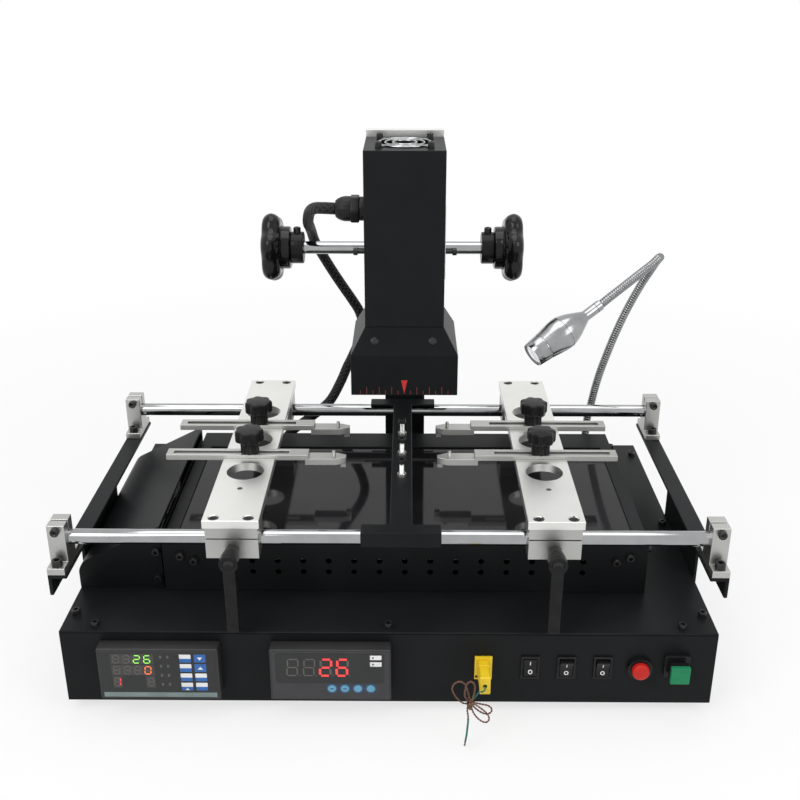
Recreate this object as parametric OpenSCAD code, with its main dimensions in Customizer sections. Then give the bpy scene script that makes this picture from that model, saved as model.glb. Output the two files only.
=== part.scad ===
// Bench rework station for ball grid array chips: a heated base with a
// sliding board clamp, a lifting infrared head, a work lamp and a control panel.
// X runs to the right, Y to the back and Z up, with the bench at Z = 0.

/* [Base box] */
// Width of the base box
base_w = 522; // [510:1:560]
// Depth of the base box
base_d = 346; // [340:1:380]
// Height of the base box without its feet
base_h = 67; // [62:1:90]
// Sheet thickness of the base box and its lid
base_wall = 2; // [1.5:0.5:3]
// Width of the flange that the lid is screwed to
lid_flange = 18; // [14:1:24]
// Height of the rubber feet
foot_h = 10; // [6:1:16]
// Diameter of the rubber feet
foot_d = 30; // [20:1:40]
// Distance of the feet from the sides of the base
foot_inset = 36; // [25:1:60]
// Diameter of the small cap screws' heads
screw_head_d = 7; // [6:0.5:8]
// Height of the small cap screws' heads
screw_head_h = 4; // [3:0.5:5]
// Distance of the lid screws from the front and rear edge of the lid
lid_screw_inset = 8; // [7:0.5:12]

/* [Preheater] */
// Width of the preheater box
preheater_w = 402; // [380:1:412]
// Depth of the preheater box
preheater_d = 213; // [200:1:225]
// Height of the preheater box
preheater_h = 48; // [44:1:52]
// Distance of the preheater's middle from the middle of the base
preheater_x = 13; // [0:1:16]
// Distance of the preheater's front from the base's front
preheater_front = 58; // [50:1:62]
// Sheet thickness of the preheater box and the blower cover
sheet_t = 1.5; // [1:0.5:2]
// Width of the flange round the glass
glass_flange = 11; // [9:1:16]
// Thickness of the ceramic glass
glass_t = 4; // [3:0.5:5]
// Thickness of the infrared heater plates
plate_heater_t = 10; // [6:1:12]
// Diameter of the air holes in the preheater's front
air_hole_d = 5; // [3:0.5:6]
// Distance between the air holes
air_hole_pitch = 21.1; // [18:0.1:26]

/* [Blower cover and blower] */
// Gap between the preheater and the cover beside it
cover_gap = 2; // [1.5:0.5:5]
// Distance of the cover's front from the base's front
cover_front = 63; // [60:1:80]
// Length of the cover
cover_d = 198; // [180:1:205]
// Height of the cover at the side of the base
cover_low_h = 23; // [20:1:28]
// Height of the blower cover's ridge
ridge_h = 59; // [55:1:60]
// Diameter of the blower's rotor
blower_d = 24; // [18:1:26]
// Diameter of the blower's shaft
blower_shaft_d = 5; // [4:0.5:6]

/* [Rods and side frames] */
// Diameter of the two guide rods
rod_d = 12; // [10:0.5:14]
// Distance of the front rod from the base's front
rod_front = 23; // [22:1:30]
// Distance between the front rod and the rear rod
rod_span = 249; // [235:1:260]
// Height of the side frames above the lid
frame_h = 50; // [44:1:60]
// Thickness of the side frames
frame_t = 3; // [2:0.5:4]
// Width of the side frames' top
frame_top_w = 15; // [14:1:18]
// Height of a rod's middle above the foot of its support
support_axis_h = 23; // [20:1:28]
// Thickness of the rod supports along the rods
support_t = 14; // [12:1:15]
// Length of a rod support's foot
support_foot_l = 42; // [38:1:44]

/* [Board clamp] */
// Distance of the left carriage from the middle of the base
left_carriage_x = -120.5; // [-135:0.5:-110]
// Distance of the right carriage from the middle of the base
right_carriage_x = 129; // [118:0.5:140]
// Width of the carriage plates
carriage_w = 44; // [40:1:50]
// Thickness of the carriage plates
carriage_t = 7; // [6:0.5:9]
// Diameter of the big holes in the carriage plates
carriage_hole_d = 31; // [24:1:34]
// Distance between the big holes
carriage_hole_pitch = 61.5; // [56:0.5:64]
// Width of the clamp fingers
finger_w = 13; // [11:0.5:14]
// Thickness of the clamp fingers
finger_t = 5; // [4:0.5:6]
// Length of a finger's bar
finger_l = 122; // [110:1:130]
// Depth of the grooves that guide the fingers
groove_depth = 2; // [1:0.5:3]
// Diameter of the knobs' studs
stud_d = 5; // [4:0.5:6]
// Diameter of the star knobs
knob_d = 25; // [20:1:27]
// Height of the star knobs
knob_h = 21; // [16:1:26]
// Length of the clamp levers' arms
lever_l = 62; // [45:1:64]

/* [Support beam] */
// Distance of the support beam from the middle of the base
beam_x = 10; // [0:1:16]
// Width of the support beam
beam_w = 18; // [16:1:24]
// Width of the beam's hooks over the rods
hook_w = 63; // [50:1:70]
// Sheet thickness of the beam
beam_t = 2.4; // [2:0.2:3]
// Distance between the support pins
pin_pitch = 42; // [40:1:44]
// Height of the support pins above the beam
pin_h = 16; // [10:1:20]

/* [Column and lift] */
// Distance of the column and the head from the middle of the base
head_x = 12; // [4:1:20]
// Width of the square column
column_w = 40; // [36:1:44]
// Height of the column above the lid
column_h = 330; // [328:1:350]
// Gap between the rear rod and the column
column_gap = 22; // [18:1:26]
// Height of the lift shaft above the lid
shaft_h = 236; // [230:1:242]
// Diameter of the lift shaft
shaft_d = 12; // [10:0.5:13]
// Distance between the outer faces of the handwheels
wheel_span = 244; // [236:1:266]
// Diameter of the handwheels
wheel_d = 68; // [58:1:76]
// Thickness of the handwheels
wheel_t = 17; // [14:1:24]
// Number of teeth of the lift pinion
pinion_teeth = 20; // [18:1:22]
// Size of the pinion's and the rack's teeth, pitch diameter over teeth
tooth_module = 1; // [0.8:0.1:1]

/* [Head] */
// Height of the hood's lower edge above the lid
hood_bottom_h = 148.5; // [146:0.5:152]
// Side length of the square hood
hood_w = 90; // [84:1:100]
// Height of the hood's straight skirt
skirt_h = 35.5; // [30:0.5:40]
// Height of the hood's sloped part
slope_h = 21.5; // [18:0.5:26]
// Width of the head box
head_w = 66; // [60:1:72]
// Depth of the head box
head_d = 68; // [62:1:74]
// Height of the head box
head_h = 146; // [130:1:160]
// Distance of the head's front from the base's front
head_front = 142; // [136:1:146]
// Side length of the fan on the head
fan_w = 50; // [46:1:54]
// Thickness of the fan
fan_t = 15; // [12:1:20]
// Side length of the ceramic heater in the hood
top_heater_w = 78; // [60:1:80]

/* [Control panel] */
// Width of the two controllers' bezels
bezel_w = 96; // [90:1:100]
// Height of the two controllers' bezels
bezel_h = 48; // [44:1:50]
// Distance that the bezels stand out of the panel
bezel_proud = 12.5; // [8:0.5:14]
// Width of the rocker switches
rocker_w = 15; // [13:0.5:16]
// Height of the rocker switches
rocker_h = 21; // [19:0.5:23]
// Tilt of a rocker to either side
rocker_tilt = 8; // [5:1:9]
// Diameter of the stop button
stop_d = 14; // [12:0.5:15]
// Side length of the start button
start_w = 15; // [13:0.5:17]
// Distance that the start button stands out of the panel
start_reach = 16; // [15:0.5:18]
// Travel of the two push buttons
button_travel = 3; // [2:0.5:3.5]

/* [Lamp and cables] */
// Diameter of the flexible lamp neck
neck_d = 8; // [7:0.5:9]
// Largest diameter of the lamp head
lamp_d = 31; // [28:1:38]
// Length of the lamp head
lamp_l = 61; // [50:1:66]
// Diameter of the head's cable
cable_d = 10; // [8:0.5:11]
// Diameter of the twisted thermocouple wire
wire_d = 1.6; // [1.2:0.2:2]

/* [Hidden] */
$fn = 64;
cut = 0.5;
bare_fit = 0.3;
running_fit = 0.06;
snug_fit = 0.05;

// Shared frame: the front face of the base, the top of the lid
inlet_flange_t = 3;
top_z = foot_h + base_h;
front_y = -(base_d + inlet_flange_t - start_reach) / 2;
half_w = base_w / 2;
chassis_h = base_h - base_wall;
foot_taper = 4;
vent_count = 12;
vent_pitch = 16;
vent_w = 5;
vent_h = 28;

// Screws: the small ones of the sheets, the larger ones of the rod supports
small_shank_d = 4;
small_shank_l = 8;
front_shank_l = 6;
support_head_d = 8.5;
support_head_h = 5;
support_shank_d = 5;
support_shank_below = 6;
corner_screw_x = 27;
rear_screw_x = 80;
side_screw_inset = 7;
side_screw_front = 25;
lid_screws = concat(
    [for (x = [-half_w + corner_screw_x, 0, half_w - corner_screw_x]) [x, lid_screw_inset]],
    [for (x = [-half_w + corner_screw_x, -rear_screw_x, rear_screw_x, half_w - corner_screw_x])
        [x, base_d - lid_screw_inset]],
    [for (s = [-1, 1], y = [side_screw_front, base_d / 2, base_d - side_screw_front])
        [s * (half_w - side_screw_inset), y]]
);

// Preheater, blower cover and blower
preheater_left = preheater_x - preheater_w / 2;
preheater_right = preheater_x + preheater_w / 2;
rear_flange = 32;
glass_ledge = 6;
glass_top = preheater_h - sheet_t;
glass_clear = 0.5;
ledge_t = 2;
hole_rows = [19, 29.5];
hole_margin = 50;
holes_per_row = 2 * floor((preheater_w / 2 - hole_margin) / air_hole_pitch) + 1;
front_screws = [[15, 35], [26, 30.5]];
side_screw_drop = 10;
side_screw = [9, preheater_h - side_screw_drop];
plate_columns = 3;
plate_rows = 2;
plate_gap = 8;
plate_field_w = preheater_w - 2 * sheet_t - 2 * glass_ledge;
plate_field_d = preheater_d - 2 * sheet_t - 2 * glass_ledge;
plate_w = (plate_field_w - (plate_columns + 1) * plate_gap) / plate_columns;
plate_d = (plate_field_d - (plate_rows + 1) * plate_gap) / plate_rows;
plate_post_d = 10;
plate_post_h = 20;
post_places = [0.25, 0.75];
blower_cover_w = half_w + preheater_left - cover_gap;
cover_screws = [10, 36];
cover_screw_edge = 4;
outlet_h = 9;
blower_place = 0.62;
blower_x = -half_w + blower_cover_w * blower_place;
blower_drop = 1;
blower_axis_h = cover_low_h - blower_drop;
blower_plate_t = 3;
blower_plate_w = 26;
blower_plate_rise = 8;
blower_plate_top = blower_axis_h + blower_plate_rise;
blower_plate_gap = 8;
blower_end_gap = 4;
blower_front = cover_front + sheet_t + blower_plate_gap;
motor_d = 22;
motor_l = 26;
blower_rear = cover_front + cover_d - sheet_t - motor_l - blower_plate_t - blower_end_gap;
blower_blades = 16;
vane_w = 3.6;
vane_t = 1;
vane_inset = 4;
disc_t = 2;
drum_gap = 2;
shaft_in_motor = 4;

// Rods, frames and supports
rod_h = frame_h + support_axis_h;
rod_rear = rod_front + rod_span;
support_x = half_w + frame_t - support_t / 2;
support_body_l = 20;
support_foot_h = 6;
support_top = 14.5;
support_slit = 1.5;
foot_screw_offset = 15.5;
clamp_hole_drop = 4.5;
clamp_hole_d = 4;
frame_front = rod_front - support_foot_l / 2;
frame_back = rod_rear + support_foot_l / 2;
frame_lip_h = 18;
tongue_front = 84;
tongue_l = 110;
tongue_drop = 28;

// Board clamp
block_inset = 3;
block_w = carriage_w - block_inset;
block_d = 26;
block_drop = 11.5;
block_rise = 15.5;
block_slit = 1;
block_bottom = rod_h - block_drop;
carriage_bottom = rod_h + block_rise;
carriage_top = carriage_bottom + carriage_t;
carriage_edge = 2;
carriage_tail = 10;
carriage_front = rod_front - block_d / 2 - carriage_edge;
carriage_l = rod_span + block_d + carriage_edge + carriage_tail;
hole_shift = 6;
hole_middle = rod_front + rod_span / 2 + hole_shift;
pilot_d = 4.5;
sink_d = 9;
sink_depth = 4;
sink_x = 13.5;
block_screw_edge = 5.5;
sink_rows = [carriage_front + block_screw_edge, carriage_front + carriage_l - block_screw_edge];
finger_rows = [hole_middle - carriage_hole_pitch / 2, hole_middle + carriage_hole_pitch / 2];
finger_floor = carriage_top - groove_depth;
finger_lift = 0.1;
slot_w = stud_d + 2 * bare_fit;
finger_tail = 71.5;
right_finger_shift = 6;
slot_rear_edge = 6;
slot_front_edge = 17;
jaw_lap = 3;
slot_start = -finger_tail + slot_rear_edge;
slot_end = finger_l - finger_tail - slot_front_edge;
jaw_start = finger_l - finger_tail - jaw_lap;
jaw_straight = 0.75;
jaw_pin_place = 0.7;
jaw_tip_w = finger_w * 0.4;
jaw_tip_l = 5;
jaw_tip_drop = 4;
jaw_pin_rise = 1;
jaw_l = 35;
jaw_t = 4.5;
jaw_overlap = 1.5;
jaw_pin_d = 3;
knob_neck_d = 16;
knob_neck_h = 11;
knob_lobes = 7;
flute_d = 8;
flute_out = 2.4;
stud_end = 1;
lever_drop = 5;
lever_h = rod_h - lever_drop;
lever_stud_d = 6;
lever_hub_d = 15;
lever_hub_back_d = 11;
lever_hub_l = 21;
lever_arm_t = 8;
lever_arm_w = 10;
lever_seat = carriage_front + carriage_edge;
stud_reach = 5;
stud_clear = 1;

// Support beam
beam_bottom = rod_h + rod_d / 2 + bare_fit;
beam_top = beam_bottom + beam_t;
hook_drop = 13;
hook_back = 2.5;
lip_gap = 2;
beam_lip = 8;
pin_d = 4;
pin_head_d = 6.5;
pin_head_h = 4;
pin_below = 6;
pin_middle = hole_middle;
front_hook = rod_front - rod_d / 2 - bare_fit - beam_t;
rear_hook = rod_rear + rod_d / 2 + bare_fit + beam_t;

// Column, rack, slider and lift shaft
column_front = rod_rear + rod_d / 2 + column_gap;
pitch_r = pinion_teeth * tooth_module / 2;
pressure_angle = 20;
base_r = pitch_r * cos(pressure_angle);
tip_share = 0.9;
root_share = 1.25;
play_share = 0.12;
tooth_tip = tip_share * tooth_module;
tooth_root = root_share * tooth_module;
tooth_play = play_share * tooth_module;
tooth_pitch = PI * tooth_module;
rack_w = 10;
rack_back_share = 4.75;
rack_back_t = rack_back_share * tooth_module;
rack_below = 64;
rack_above = 74;
rack_pitch_d = column_front - rack_back_t - tooth_root;
shaft_front = rack_pitch_d - pitch_r;
slider_w = 76;
slider_h = 70;
slider_below = 26;
slider_bottom = shaft_h - slider_below;
slider_wall = 8;
slider_front_wall = 6;
slider_front = shaft_front - pitch_r - tooth_tip - slider_front_wall;
pinion_clear = 1;
pinion_side_clear = 2;
slider_back = column_front + column_w + slider_wall;
back_plate_t = 8;
back_plate_proud = 5.5;
neck_w = 48;
neck_h = 50;
column_flange_w = 70;
column_flange_t = 6;
column_wall = 4;
hub_d = 40;
hub_l = 9;
collar_d = 30;
collar_l = 12;
wheel_lobes = 8;
wheel_cap_t = 2;
shaft_end_clear = 0.5;
lobe_cut_r = 9;
lobe_cut_out = 6;
lobe_cut_at = wheel_d / 2 + lobe_cut_out;

// Head
head_bottom_h = hood_bottom_h + skirt_h + slope_h;
head_top_h = head_bottom_h + head_h;
head_back = head_front + head_d;
head_middle = head_front + head_d / 2;
fan_rim = 2;
fan_screw_edge = 4;
fan_hole_d = fan_w - 2 * fan_rim;
fan_screw_pitch = fan_w - 2 * fan_screw_edge;
fan_screw_d = 5.5;
fan_screw_h = 5;
fan_arm_w = 4;
fan_arm_t = 2;
fan_arm_lap = 1;
fan_seat_t = 3;
fan_rotor_gap = 5;
fan_rotor_h = fan_t - fan_rotor_gap;
fan_pitch_angle = 35;
fan_vane_w = 11;
fan_vane_t = 1.2;
fan_vane_clear = 0.6;
fan_vane_lap = 1;
ring_edge = 2;
ring_places = [0.7, 0.42];
spoke_place = 0.18;
fan_hub_d = 22;
fan_pin_d = 3;
fan_blades = 7;
guard_wire = 1.6;
heater_plate_t = 2;
top_heater_t = 12;
heater_recess = 12;
heater_stem_d = 14;
gland_drop = 54.5;
gland_behind = 38;
gland_h = head_top_h - gland_drop;
gland_y = head_front + gland_behind;
gland_hex = 22;
gland_l = 25;
gland_seat_l = 5;
gland_nut_l = 12;
gland_seat_step = 2;
gland_corner = 1.1;
gland_mouth_step = 1;
gland_mouth_wall = 4;
low_gland_h = 12;
low_gland_edge = 8;
base_gland_x = -113.5;
low_gland_behind = 32;
base_gland_y = preheater_front + preheater_d + low_gland_behind;
gland_bore = cable_d + 2 * snug_fit;

// Control panel
panel_h = -32;
left_controller_place = 79.5;
right_controller_place = 215.5;
left_controller_x = -half_w + left_controller_place;
right_controller_x = -half_w + right_controller_place;
controller_body_l = 70;
body_margin = 2.5;
rocker_places = [147.5, 118.5, 89.5];
rocker_xs = [for (p = rocker_places) half_w - p];
rocker_rests = [-1, 1, 1];
rocker_frame_t = 2;
rocker_body_l = 20;
rocker_margin = 1.2;
stop_place = 60;
start_place = 31;
stop_x = half_w - stop_place;
start_x = half_w - start_place;
start_rise = 3;
start_h = panel_h + start_rise;
button_body_d = 16;
button_body_l = 22;
button_stem_d = 6;
button_flange_t = 4;
stop_flange_d = 20;
stop_reach = 9;
start_flange_w = 20;
stop_sink = 3;
stem_end = 5;
start_lap = 1;
socket_place = 185;
socket_x = half_w - socket_place;
socket_lip = 1;
blade_end = 1;
socket_w = 14;
socket_h = 21;
socket_t = 3;
socket_body_l = 14;
plug_w = 8.6;
plug_h = 16;
plug_l = 22;
blade_l = 8;
blade_w = 3;
blade_t = 1;
blade_offset = 4;
inlet_place = 61;
inlet_x = -half_w + inlet_place;
inlet_flange_w = 50;
inlet_flange_h = 30;
inlet_body_w = 30;
inlet_body_h = 24;
inlet_body_l = 24;
inlet_cavity_w = 25;
inlet_cavity_h = 18;
inlet_cavity_l = 18;
inlet_pins = [[-7, 0], [0, 4.5], [7, 0]];
inlet_pin_w = 2;
inlet_pin_h = 4;
inlet_pin_short = 2;
relay_w = 45;
relay_d = 60;
relay_h = 24;
relay_xs = [-60, 10, 80];
relay_front = 180;
relay_notch_w = relay_w * 0.4;
relay_notch_l = 10;
relay_notch_h = 6;

// Rocker pivots and openings
rocker_rim = 2;
rocker_opening_w = rocker_w - 2 * rocker_rim;
rocker_opening_h = rocker_h - 2 * rocker_rim;
rocker_depth = 10;
rocker_pivot = 3;
rocker_pin_d = 2;
rocker_swing_clear = 1.3;
rocker_pin_lap = 0.5;
rocker_pin_l = rocker_opening_w + 2 * rocker_pin_lap;
rocker_tip = 3.4;
rocker_dip = 1.8;
rocker_heel = 1.5;
rocker_keel = 3.5;
stop_well = 5;
panel_screws = [for (s = front_screws) each [[preheater_left + s.x, s.y], [preheater_right - s.x, s.y]]];
ledge_bottom = glass_top - glass_t - ledge_t;

// Lamp: points of the neck as X from its foot, distance behind the front, height above the lid
lamp_place = 61;
lamp_x = half_w - lamp_place;
lamp_behind = 33;
lamp_y = rod_rear + lamp_behind;
lamp_collar_l = 18;
lamp_collar_wall = 2.5;
lamp_floor = 2;
lamp_nut_d = 20;
lamp_nut_h = 9;
lower_neck = [
    [0, 305, 2.3], [0, 305, 20], [0, 305, 34], [0.8, 305, 50], [3.5, 304, 68], [6.3, 303, 86],
    [10, 302, 104], [14.2, 301, 120], [18.7, 300, 136], [23.8, 299, 152], [29.5, 298, 168],
    [35.7, 296, 184], [42.2, 293, 200], [47.2, 288, 212.5], [50.4, 281, 223.4]
];
upper_neck = [
    [50.4, 281, 223.4], [51.7, 276, 228.2], [51, 270, 231], [48, 265, 231], [42, 259, 227.6],
    [33, 251.6, 223.4], [21.5, 242.3, 217.9], [10.4, 234.2, 212.1], [-0.4, 227.3, 206.1]
];
neck_tip = [-10.8, 221.6, 199.7];
// The whole lamp goes along with its foot
lamp_shift = lamp_y - lower_neck[0].y;
straight_end = 4;
neck_sides = 12;
dome_steps = [30, 60, 84];
lamp_axis = [-0.79, -0.395, -0.465];
ferrule_l = 18.5;
ferrule_wall = 1;
ferrule_d = neck_d + 2 * ferrule_wall;
rim_d = 23;
lens_t = 3;
rim_wall = 2;
lens_d = rim_d - 2 * rim_wall;
bell_places = [[0.3, 0.135], [0.425, 0.277], [0.5, 0.44], [0.455, 0.65]];

// Cable from the head's gland to the gland on the lid: X, distance behind the front, height
cable_course = [
    [-46, 180, 297], [-56, 182, 297], [-65, 194, 294], [-71, 214, 286], [-75, 240, 273], [-77, 264, 263],
    [-78.5, 290, 255], [-78.5, 308, 245], [-76.5, 320, 232], [-69.5, 327, 216], [-59.6, 332, 197],
    [-50.5, 334.5, 181.6], [-41.6, 335, 167.7], [-34.5, 336, 154.6], [-31.9, 336, 140.5], [-35.7, 335, 123.4],
    [-43.1, 333, 106.4], [-48.4, 331, 96], [-54.2, 327, 83], [-64, 318, 66.3], [-73.7, 312, 57.6],
    [-86.5, 307, 48.9], [-101.1, 303.5, 39], [-107.5, 303.2, 33], [-111.8, 303, 25.4], [-113.4, 303, 15.8],
    [-113.5, 303, 9], [-113.5, 303, 2]
];
// Its low end goes along with the lid's gland, and the head's end stays
cable_shift = base_gland_y - cable_course[len(cable_course) - 1].y;
cable_bend_h = 50;
cable_fade = 200;
cable_route = [for (p = cable_course)
    [p.x, p.y + cable_shift * max(0, min(1, (cable_bend_h + cable_fade - p.z) / cable_fade)), p.z]];
cable_sides = 10;

// Thermocouple wire from the plug, tied in a bow, down to the bench: X from the socket and so on
wire_route = [
    [0, -25, -32], [-0.2, -28, -32.2], [-1.8, -30, -33], [-5.4, -30.3, -33.7],
    [-8.4, -30.2, -38.6], [-11.8, -30.2, -42.9], [-16.4, -30.3, -44.3], [-21.2, -30.5, -40.2],
    [-24.7, -30.7, -34.5], [-26, -31, -29], [-23.9, -31.3, -24.2], [-20.1, -31.6, -22.4],
    [-16.4, -31.9, -24.6], [-14.1, -32.2, -30.8], [-12.3, -32.5, -38.2], [-9.4, -32.8, -44.7],
    [-4.8, -33.1, -49.2], [0.2, -33.4, -51.7], [3.9, -33.7, -50.4], [4.9, -34, -46.5],
    [1.9, -34.3, -43], [-3.2, -34.6, -41.4], [-8.6, -34.9, -39.8], [-13.7, -35.2, -38],
    [-16.3, -35.5, -33], [-16.2, -35.9, -26], [-14.8, -36.3, -20.6], [-11.8, -36.6, -18.5],
    [-9.2, -36.9, -21.4], [-9.2, -37.2, -27.8], [-10.8, -37.5, -35.6], [-10.8, -37.8, -43],
    [-7.9, -38.1, -49.6], [-3.4, -38.4, -54.3], [0.7, -38.7, -55.4], [2.7, -39, -51.8],
    [1, -39.3, -46.8], [-3.5, -39.6, -41.8], [-8.2, -39.8, -37.8], [-10.6, -40, -37],
    [-13, -40.3, -37.6], [-14.4, -40.6, -40], [-14.4, -40.9, -43.2], [-13.8, -41.1, -47.4],
    [-13.6, -41.2, -52.4], [-14, -41.3, -58.9], [-14.6, -41.4, -66.6], [-15.9, -41.5, -75.9]
];
wire_sides = 8;

// Places a shape at X, a distance behind the base's front and a height above the lid
module put(x, behind, above) {
    translate([x, front_y + behind, top_z + above]) children();
}

module along_x(l, d) {
    translate([-l / 2, 0, 0]) rotate([0, 90, 0]) cylinder(h = l, d = d);
}

module along_y(l, d) {
    rotate([-90, 0, 0]) cylinder(h = l, d = d);
}

// Turns the Z axis to a direction
module aim(direction) {
    tilt = acos(direction.z / norm(direction));
    rotate([0, tilt, atan2(direction.y, direction.x)]) children();
}

module cap_screw(head_d, head_h, shank_d, shank_l) {
    difference() {
        union() {
            cylinder(h = head_h, d = head_d);
            translate([0, 0, -shank_l]) cylinder(h = shank_l + cut, d = shank_d);
        }
        translate([0, 0, head_h / 2]) cylinder(h = head_h, d = head_d / 2, $fn = 6);
    }
}

// A tube swept along points, each ring square to the route
function unit(v) = v / norm(v);
function heading(route, i) = unit(route[min(i + 1, len(route) - 1)] - route[max(i - 1, 0)]);
function ring(route, i, r, sides, side_ref) =
    let (t = heading(route, i), u = unit(cross(t, side_ref)), w = cross(t, u))
    [for (k = [0:sides - 1]) route[i] + r * (cos(k * 360 / sides) * u + sin(k * 360 / sides) * w)];

module swept_tube(route, d, sides, side_ref, radii = []) {
    rings = len(route);
    points = [for (i = [0:rings - 1])
        each ring(route, i, len(radii) > i ? radii[i] : d / 2, sides, side_ref)];
    walls = [for (i = [0:rings - 2], k = [0:sides - 1])
        let (next = (k + 1) % sides)
        [i * sides + k, i * sides + next, (i + 1) * sides + next, (i + 1) * sides + k]];
    start = [[for (k = [0:sides - 1]) sides - 1 - k]];
    finish = [[for (k = [0:sides - 1]) (rings - 1) * sides + k]];
    polyhedron(points = points, faces = concat(start, walls, finish), convexity = 4);
}

module base_chassis() color("#1d1f21") difference() {
    put(-half_w, 0, -base_h) cube([base_w, base_d, chassis_h]);
    put(-half_w + base_wall, base_wall, base_wall - base_h)
        cube([base_w - 2 * base_wall, base_d - 2 * base_wall, chassis_h - 2 * base_wall]);
    put(-half_w + lid_flange, lid_flange, -base_h / 2)
        cube([base_w - 2 * lid_flange, base_d - 2 * lid_flange, base_h]);
    for (x = [left_controller_x, right_controller_x])
        put(x - bezel_w / 2 + body_margin - bare_fit, -cut, panel_h - bezel_h / 2 + body_margin - bare_fit)
            cube([bezel_w - 2 * (body_margin - bare_fit), base_wall + 2 * cut,
                bezel_h - 2 * (body_margin - bare_fit)]);
    for (x = rocker_xs)
        put(x - rocker_w / 2 + rocker_margin - bare_fit, -cut,
            panel_h - rocker_h / 2 + rocker_margin - bare_fit)
            cube([rocker_w - 2 * (rocker_margin - bare_fit), base_wall + 2 * cut,
                rocker_h - 2 * (rocker_margin - bare_fit)]);
    put(stop_x, -cut, panel_h) along_y(base_wall + 2 * cut, button_body_d + 2 * bare_fit);
    put(start_x, -cut, start_h) along_y(base_wall + 2 * cut, button_body_d + 2 * bare_fit);
    put(socket_x - socket_w / 2 + socket_lip - bare_fit, -cut, panel_h - socket_h / 2 + socket_lip - bare_fit)
        cube([socket_w - 2 * (socket_lip - bare_fit), base_wall + 2 * cut,
            socket_h - 2 * (socket_lip - bare_fit)]);
    put(inlet_x - inlet_body_w / 2 - bare_fit, base_d - base_wall - cut,
        panel_h - inlet_body_h / 2 - bare_fit)
        cube([inlet_body_w + 2 * bare_fit, base_wall + 2 * cut, inlet_body_h + 2 * bare_fit]);
    for (i = [0:vent_count - 1])
        put((i - (vent_count - 1) / 2) * vent_pitch, base_d - base_wall - cut, panel_h - vent_h / 2)
            cube([vent_w, base_wall + 2 * cut, vent_h]);
    for (p = lid_screws)
        put(p.x, p.y, -base_h / 2) cylinder(h = base_h, d = small_shank_d + 2 * snug_fit);
}

module top_plate() color("#202224") difference() {
    put(-half_w, 0, -base_wall) cube([base_w, base_d, base_wall]);
    for (p = lid_screws)
        put(p.x, p.y, -base_wall - cut) cylinder(h = base_wall + 2 * cut, d = small_shank_d + 2 * snug_fit);
    put(base_gland_x, base_gland_y, -base_wall - cut) cylinder(h = base_wall + 2 * cut, d = gland_bore);
}

module rubber_feet() color("#141414")
    for (x = [-half_w + foot_inset, half_w - foot_inset], y = [foot_inset, base_d - foot_inset])
        put(x, y, -base_h - foot_h) cylinder(h = foot_h, d1 = foot_d - foot_taper, d2 = foot_d);

module cap_screws() color("#26282a") {
    for (p = lid_screws)
        put(p.x, p.y, 0) cap_screw(screw_head_d, screw_head_h, small_shank_d, small_shank_l);
    for (p = panel_screws)
        put(p.x, preheater_front, p.y) rotate([90, 0, 0])
            cap_screw(screw_head_d, screw_head_h, small_shank_d, front_shank_l);
    for (h = cover_screws)
        put(preheater_left - cover_gap - cover_screw_edge, cover_front, h) rotate([90, 0, 0])
            cap_screw(screw_head_d, screw_head_h, small_shank_d, front_shank_l);
    put(preheater_right, preheater_front + side_screw.x, side_screw.y) rotate([0, 90, 0])
        cap_screw(screw_head_d, screw_head_h, small_shank_d, front_shank_l);
    for (x = [-support_x, support_x], y = [rod_front, rod_rear], s = [-1, 1])
        put(x, y + s * foot_screw_offset, frame_h + support_foot_h)
            cap_screw(support_head_d, support_head_h, support_shank_d, support_foot_h + support_shank_below);
}

module preheater_housing() color("#1b1d1f") difference() {
    put(preheater_left, preheater_front, 0) cube([preheater_w, preheater_d, preheater_h]);
    put(preheater_left + sheet_t, preheater_front + sheet_t, sheet_t)
        cube([preheater_w - 2 * sheet_t, preheater_d - 2 * sheet_t, ledge_bottom - sheet_t]);
    put(preheater_left + sheet_t + glass_ledge, preheater_front + sheet_t + glass_ledge, sheet_t)
        cube([plate_field_w, plate_field_d, glass_top - sheet_t - cut]);
    put(preheater_left + sheet_t, preheater_front + sheet_t, glass_top - glass_t)
        cube([preheater_w - 2 * sheet_t, preheater_d - 2 * sheet_t, glass_t]);
    put(preheater_left + glass_flange, preheater_front + glass_flange, glass_top - cut)
        cube([preheater_w - 2 * glass_flange, preheater_d - glass_flange - rear_flange, preheater_h]);
    for (row = hole_rows, i = [0:holes_per_row - 1])
        put(preheater_x + (i - (holes_per_row - 1) / 2) * air_hole_pitch, preheater_front - cut, row)
            along_y(sheet_t + 2 * cut, air_hole_d);
    for (p = panel_screws)
        put(p.x, preheater_front - cut, p.y) along_y(sheet_t + 2 * cut, small_shank_d + 2 * snug_fit);
    put(preheater_right, preheater_front + side_screw.x, side_screw.y)
        along_x(4 * sheet_t, small_shank_d + 2 * snug_fit);
}

module ceramic_glass() color("#3a3b3e")
    put(preheater_left + sheet_t + glass_clear, preheater_front + sheet_t + glass_clear, glass_top - glass_t)
        cube([preheater_w - 2 * (sheet_t + glass_clear), preheater_d - 2 * (sheet_t + glass_clear), glass_t]);

module heater_plates() color("#8d8a84")
    for (i = [0:plate_columns - 1], j = [0:plate_rows - 1])
        put(preheater_left + sheet_t + glass_ledge + plate_gap + i * (plate_w + plate_gap),
            preheater_front + sheet_t + glass_ledge + plate_gap + j * (plate_d + plate_gap), sheet_t) {
            translate([0, 0, plate_post_h]) cube([plate_w, plate_d, plate_heater_t]);
            for (s = post_places)
                translate([plate_w * s, plate_d / 2, 0]) cylinder(h = plate_post_h + cut, d = plate_post_d);
        }

// A folded sheet: a low outer wall, a sloped top, a high inner wall and two end walls
module cover_solid(w, low, high, d) {
    rotate([90, 0, 0]) translate([0, 0, -d]) linear_extrude(d)
        polygon([[0, 0], [0, low], [w, high], [w, 0]]);
}

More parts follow.
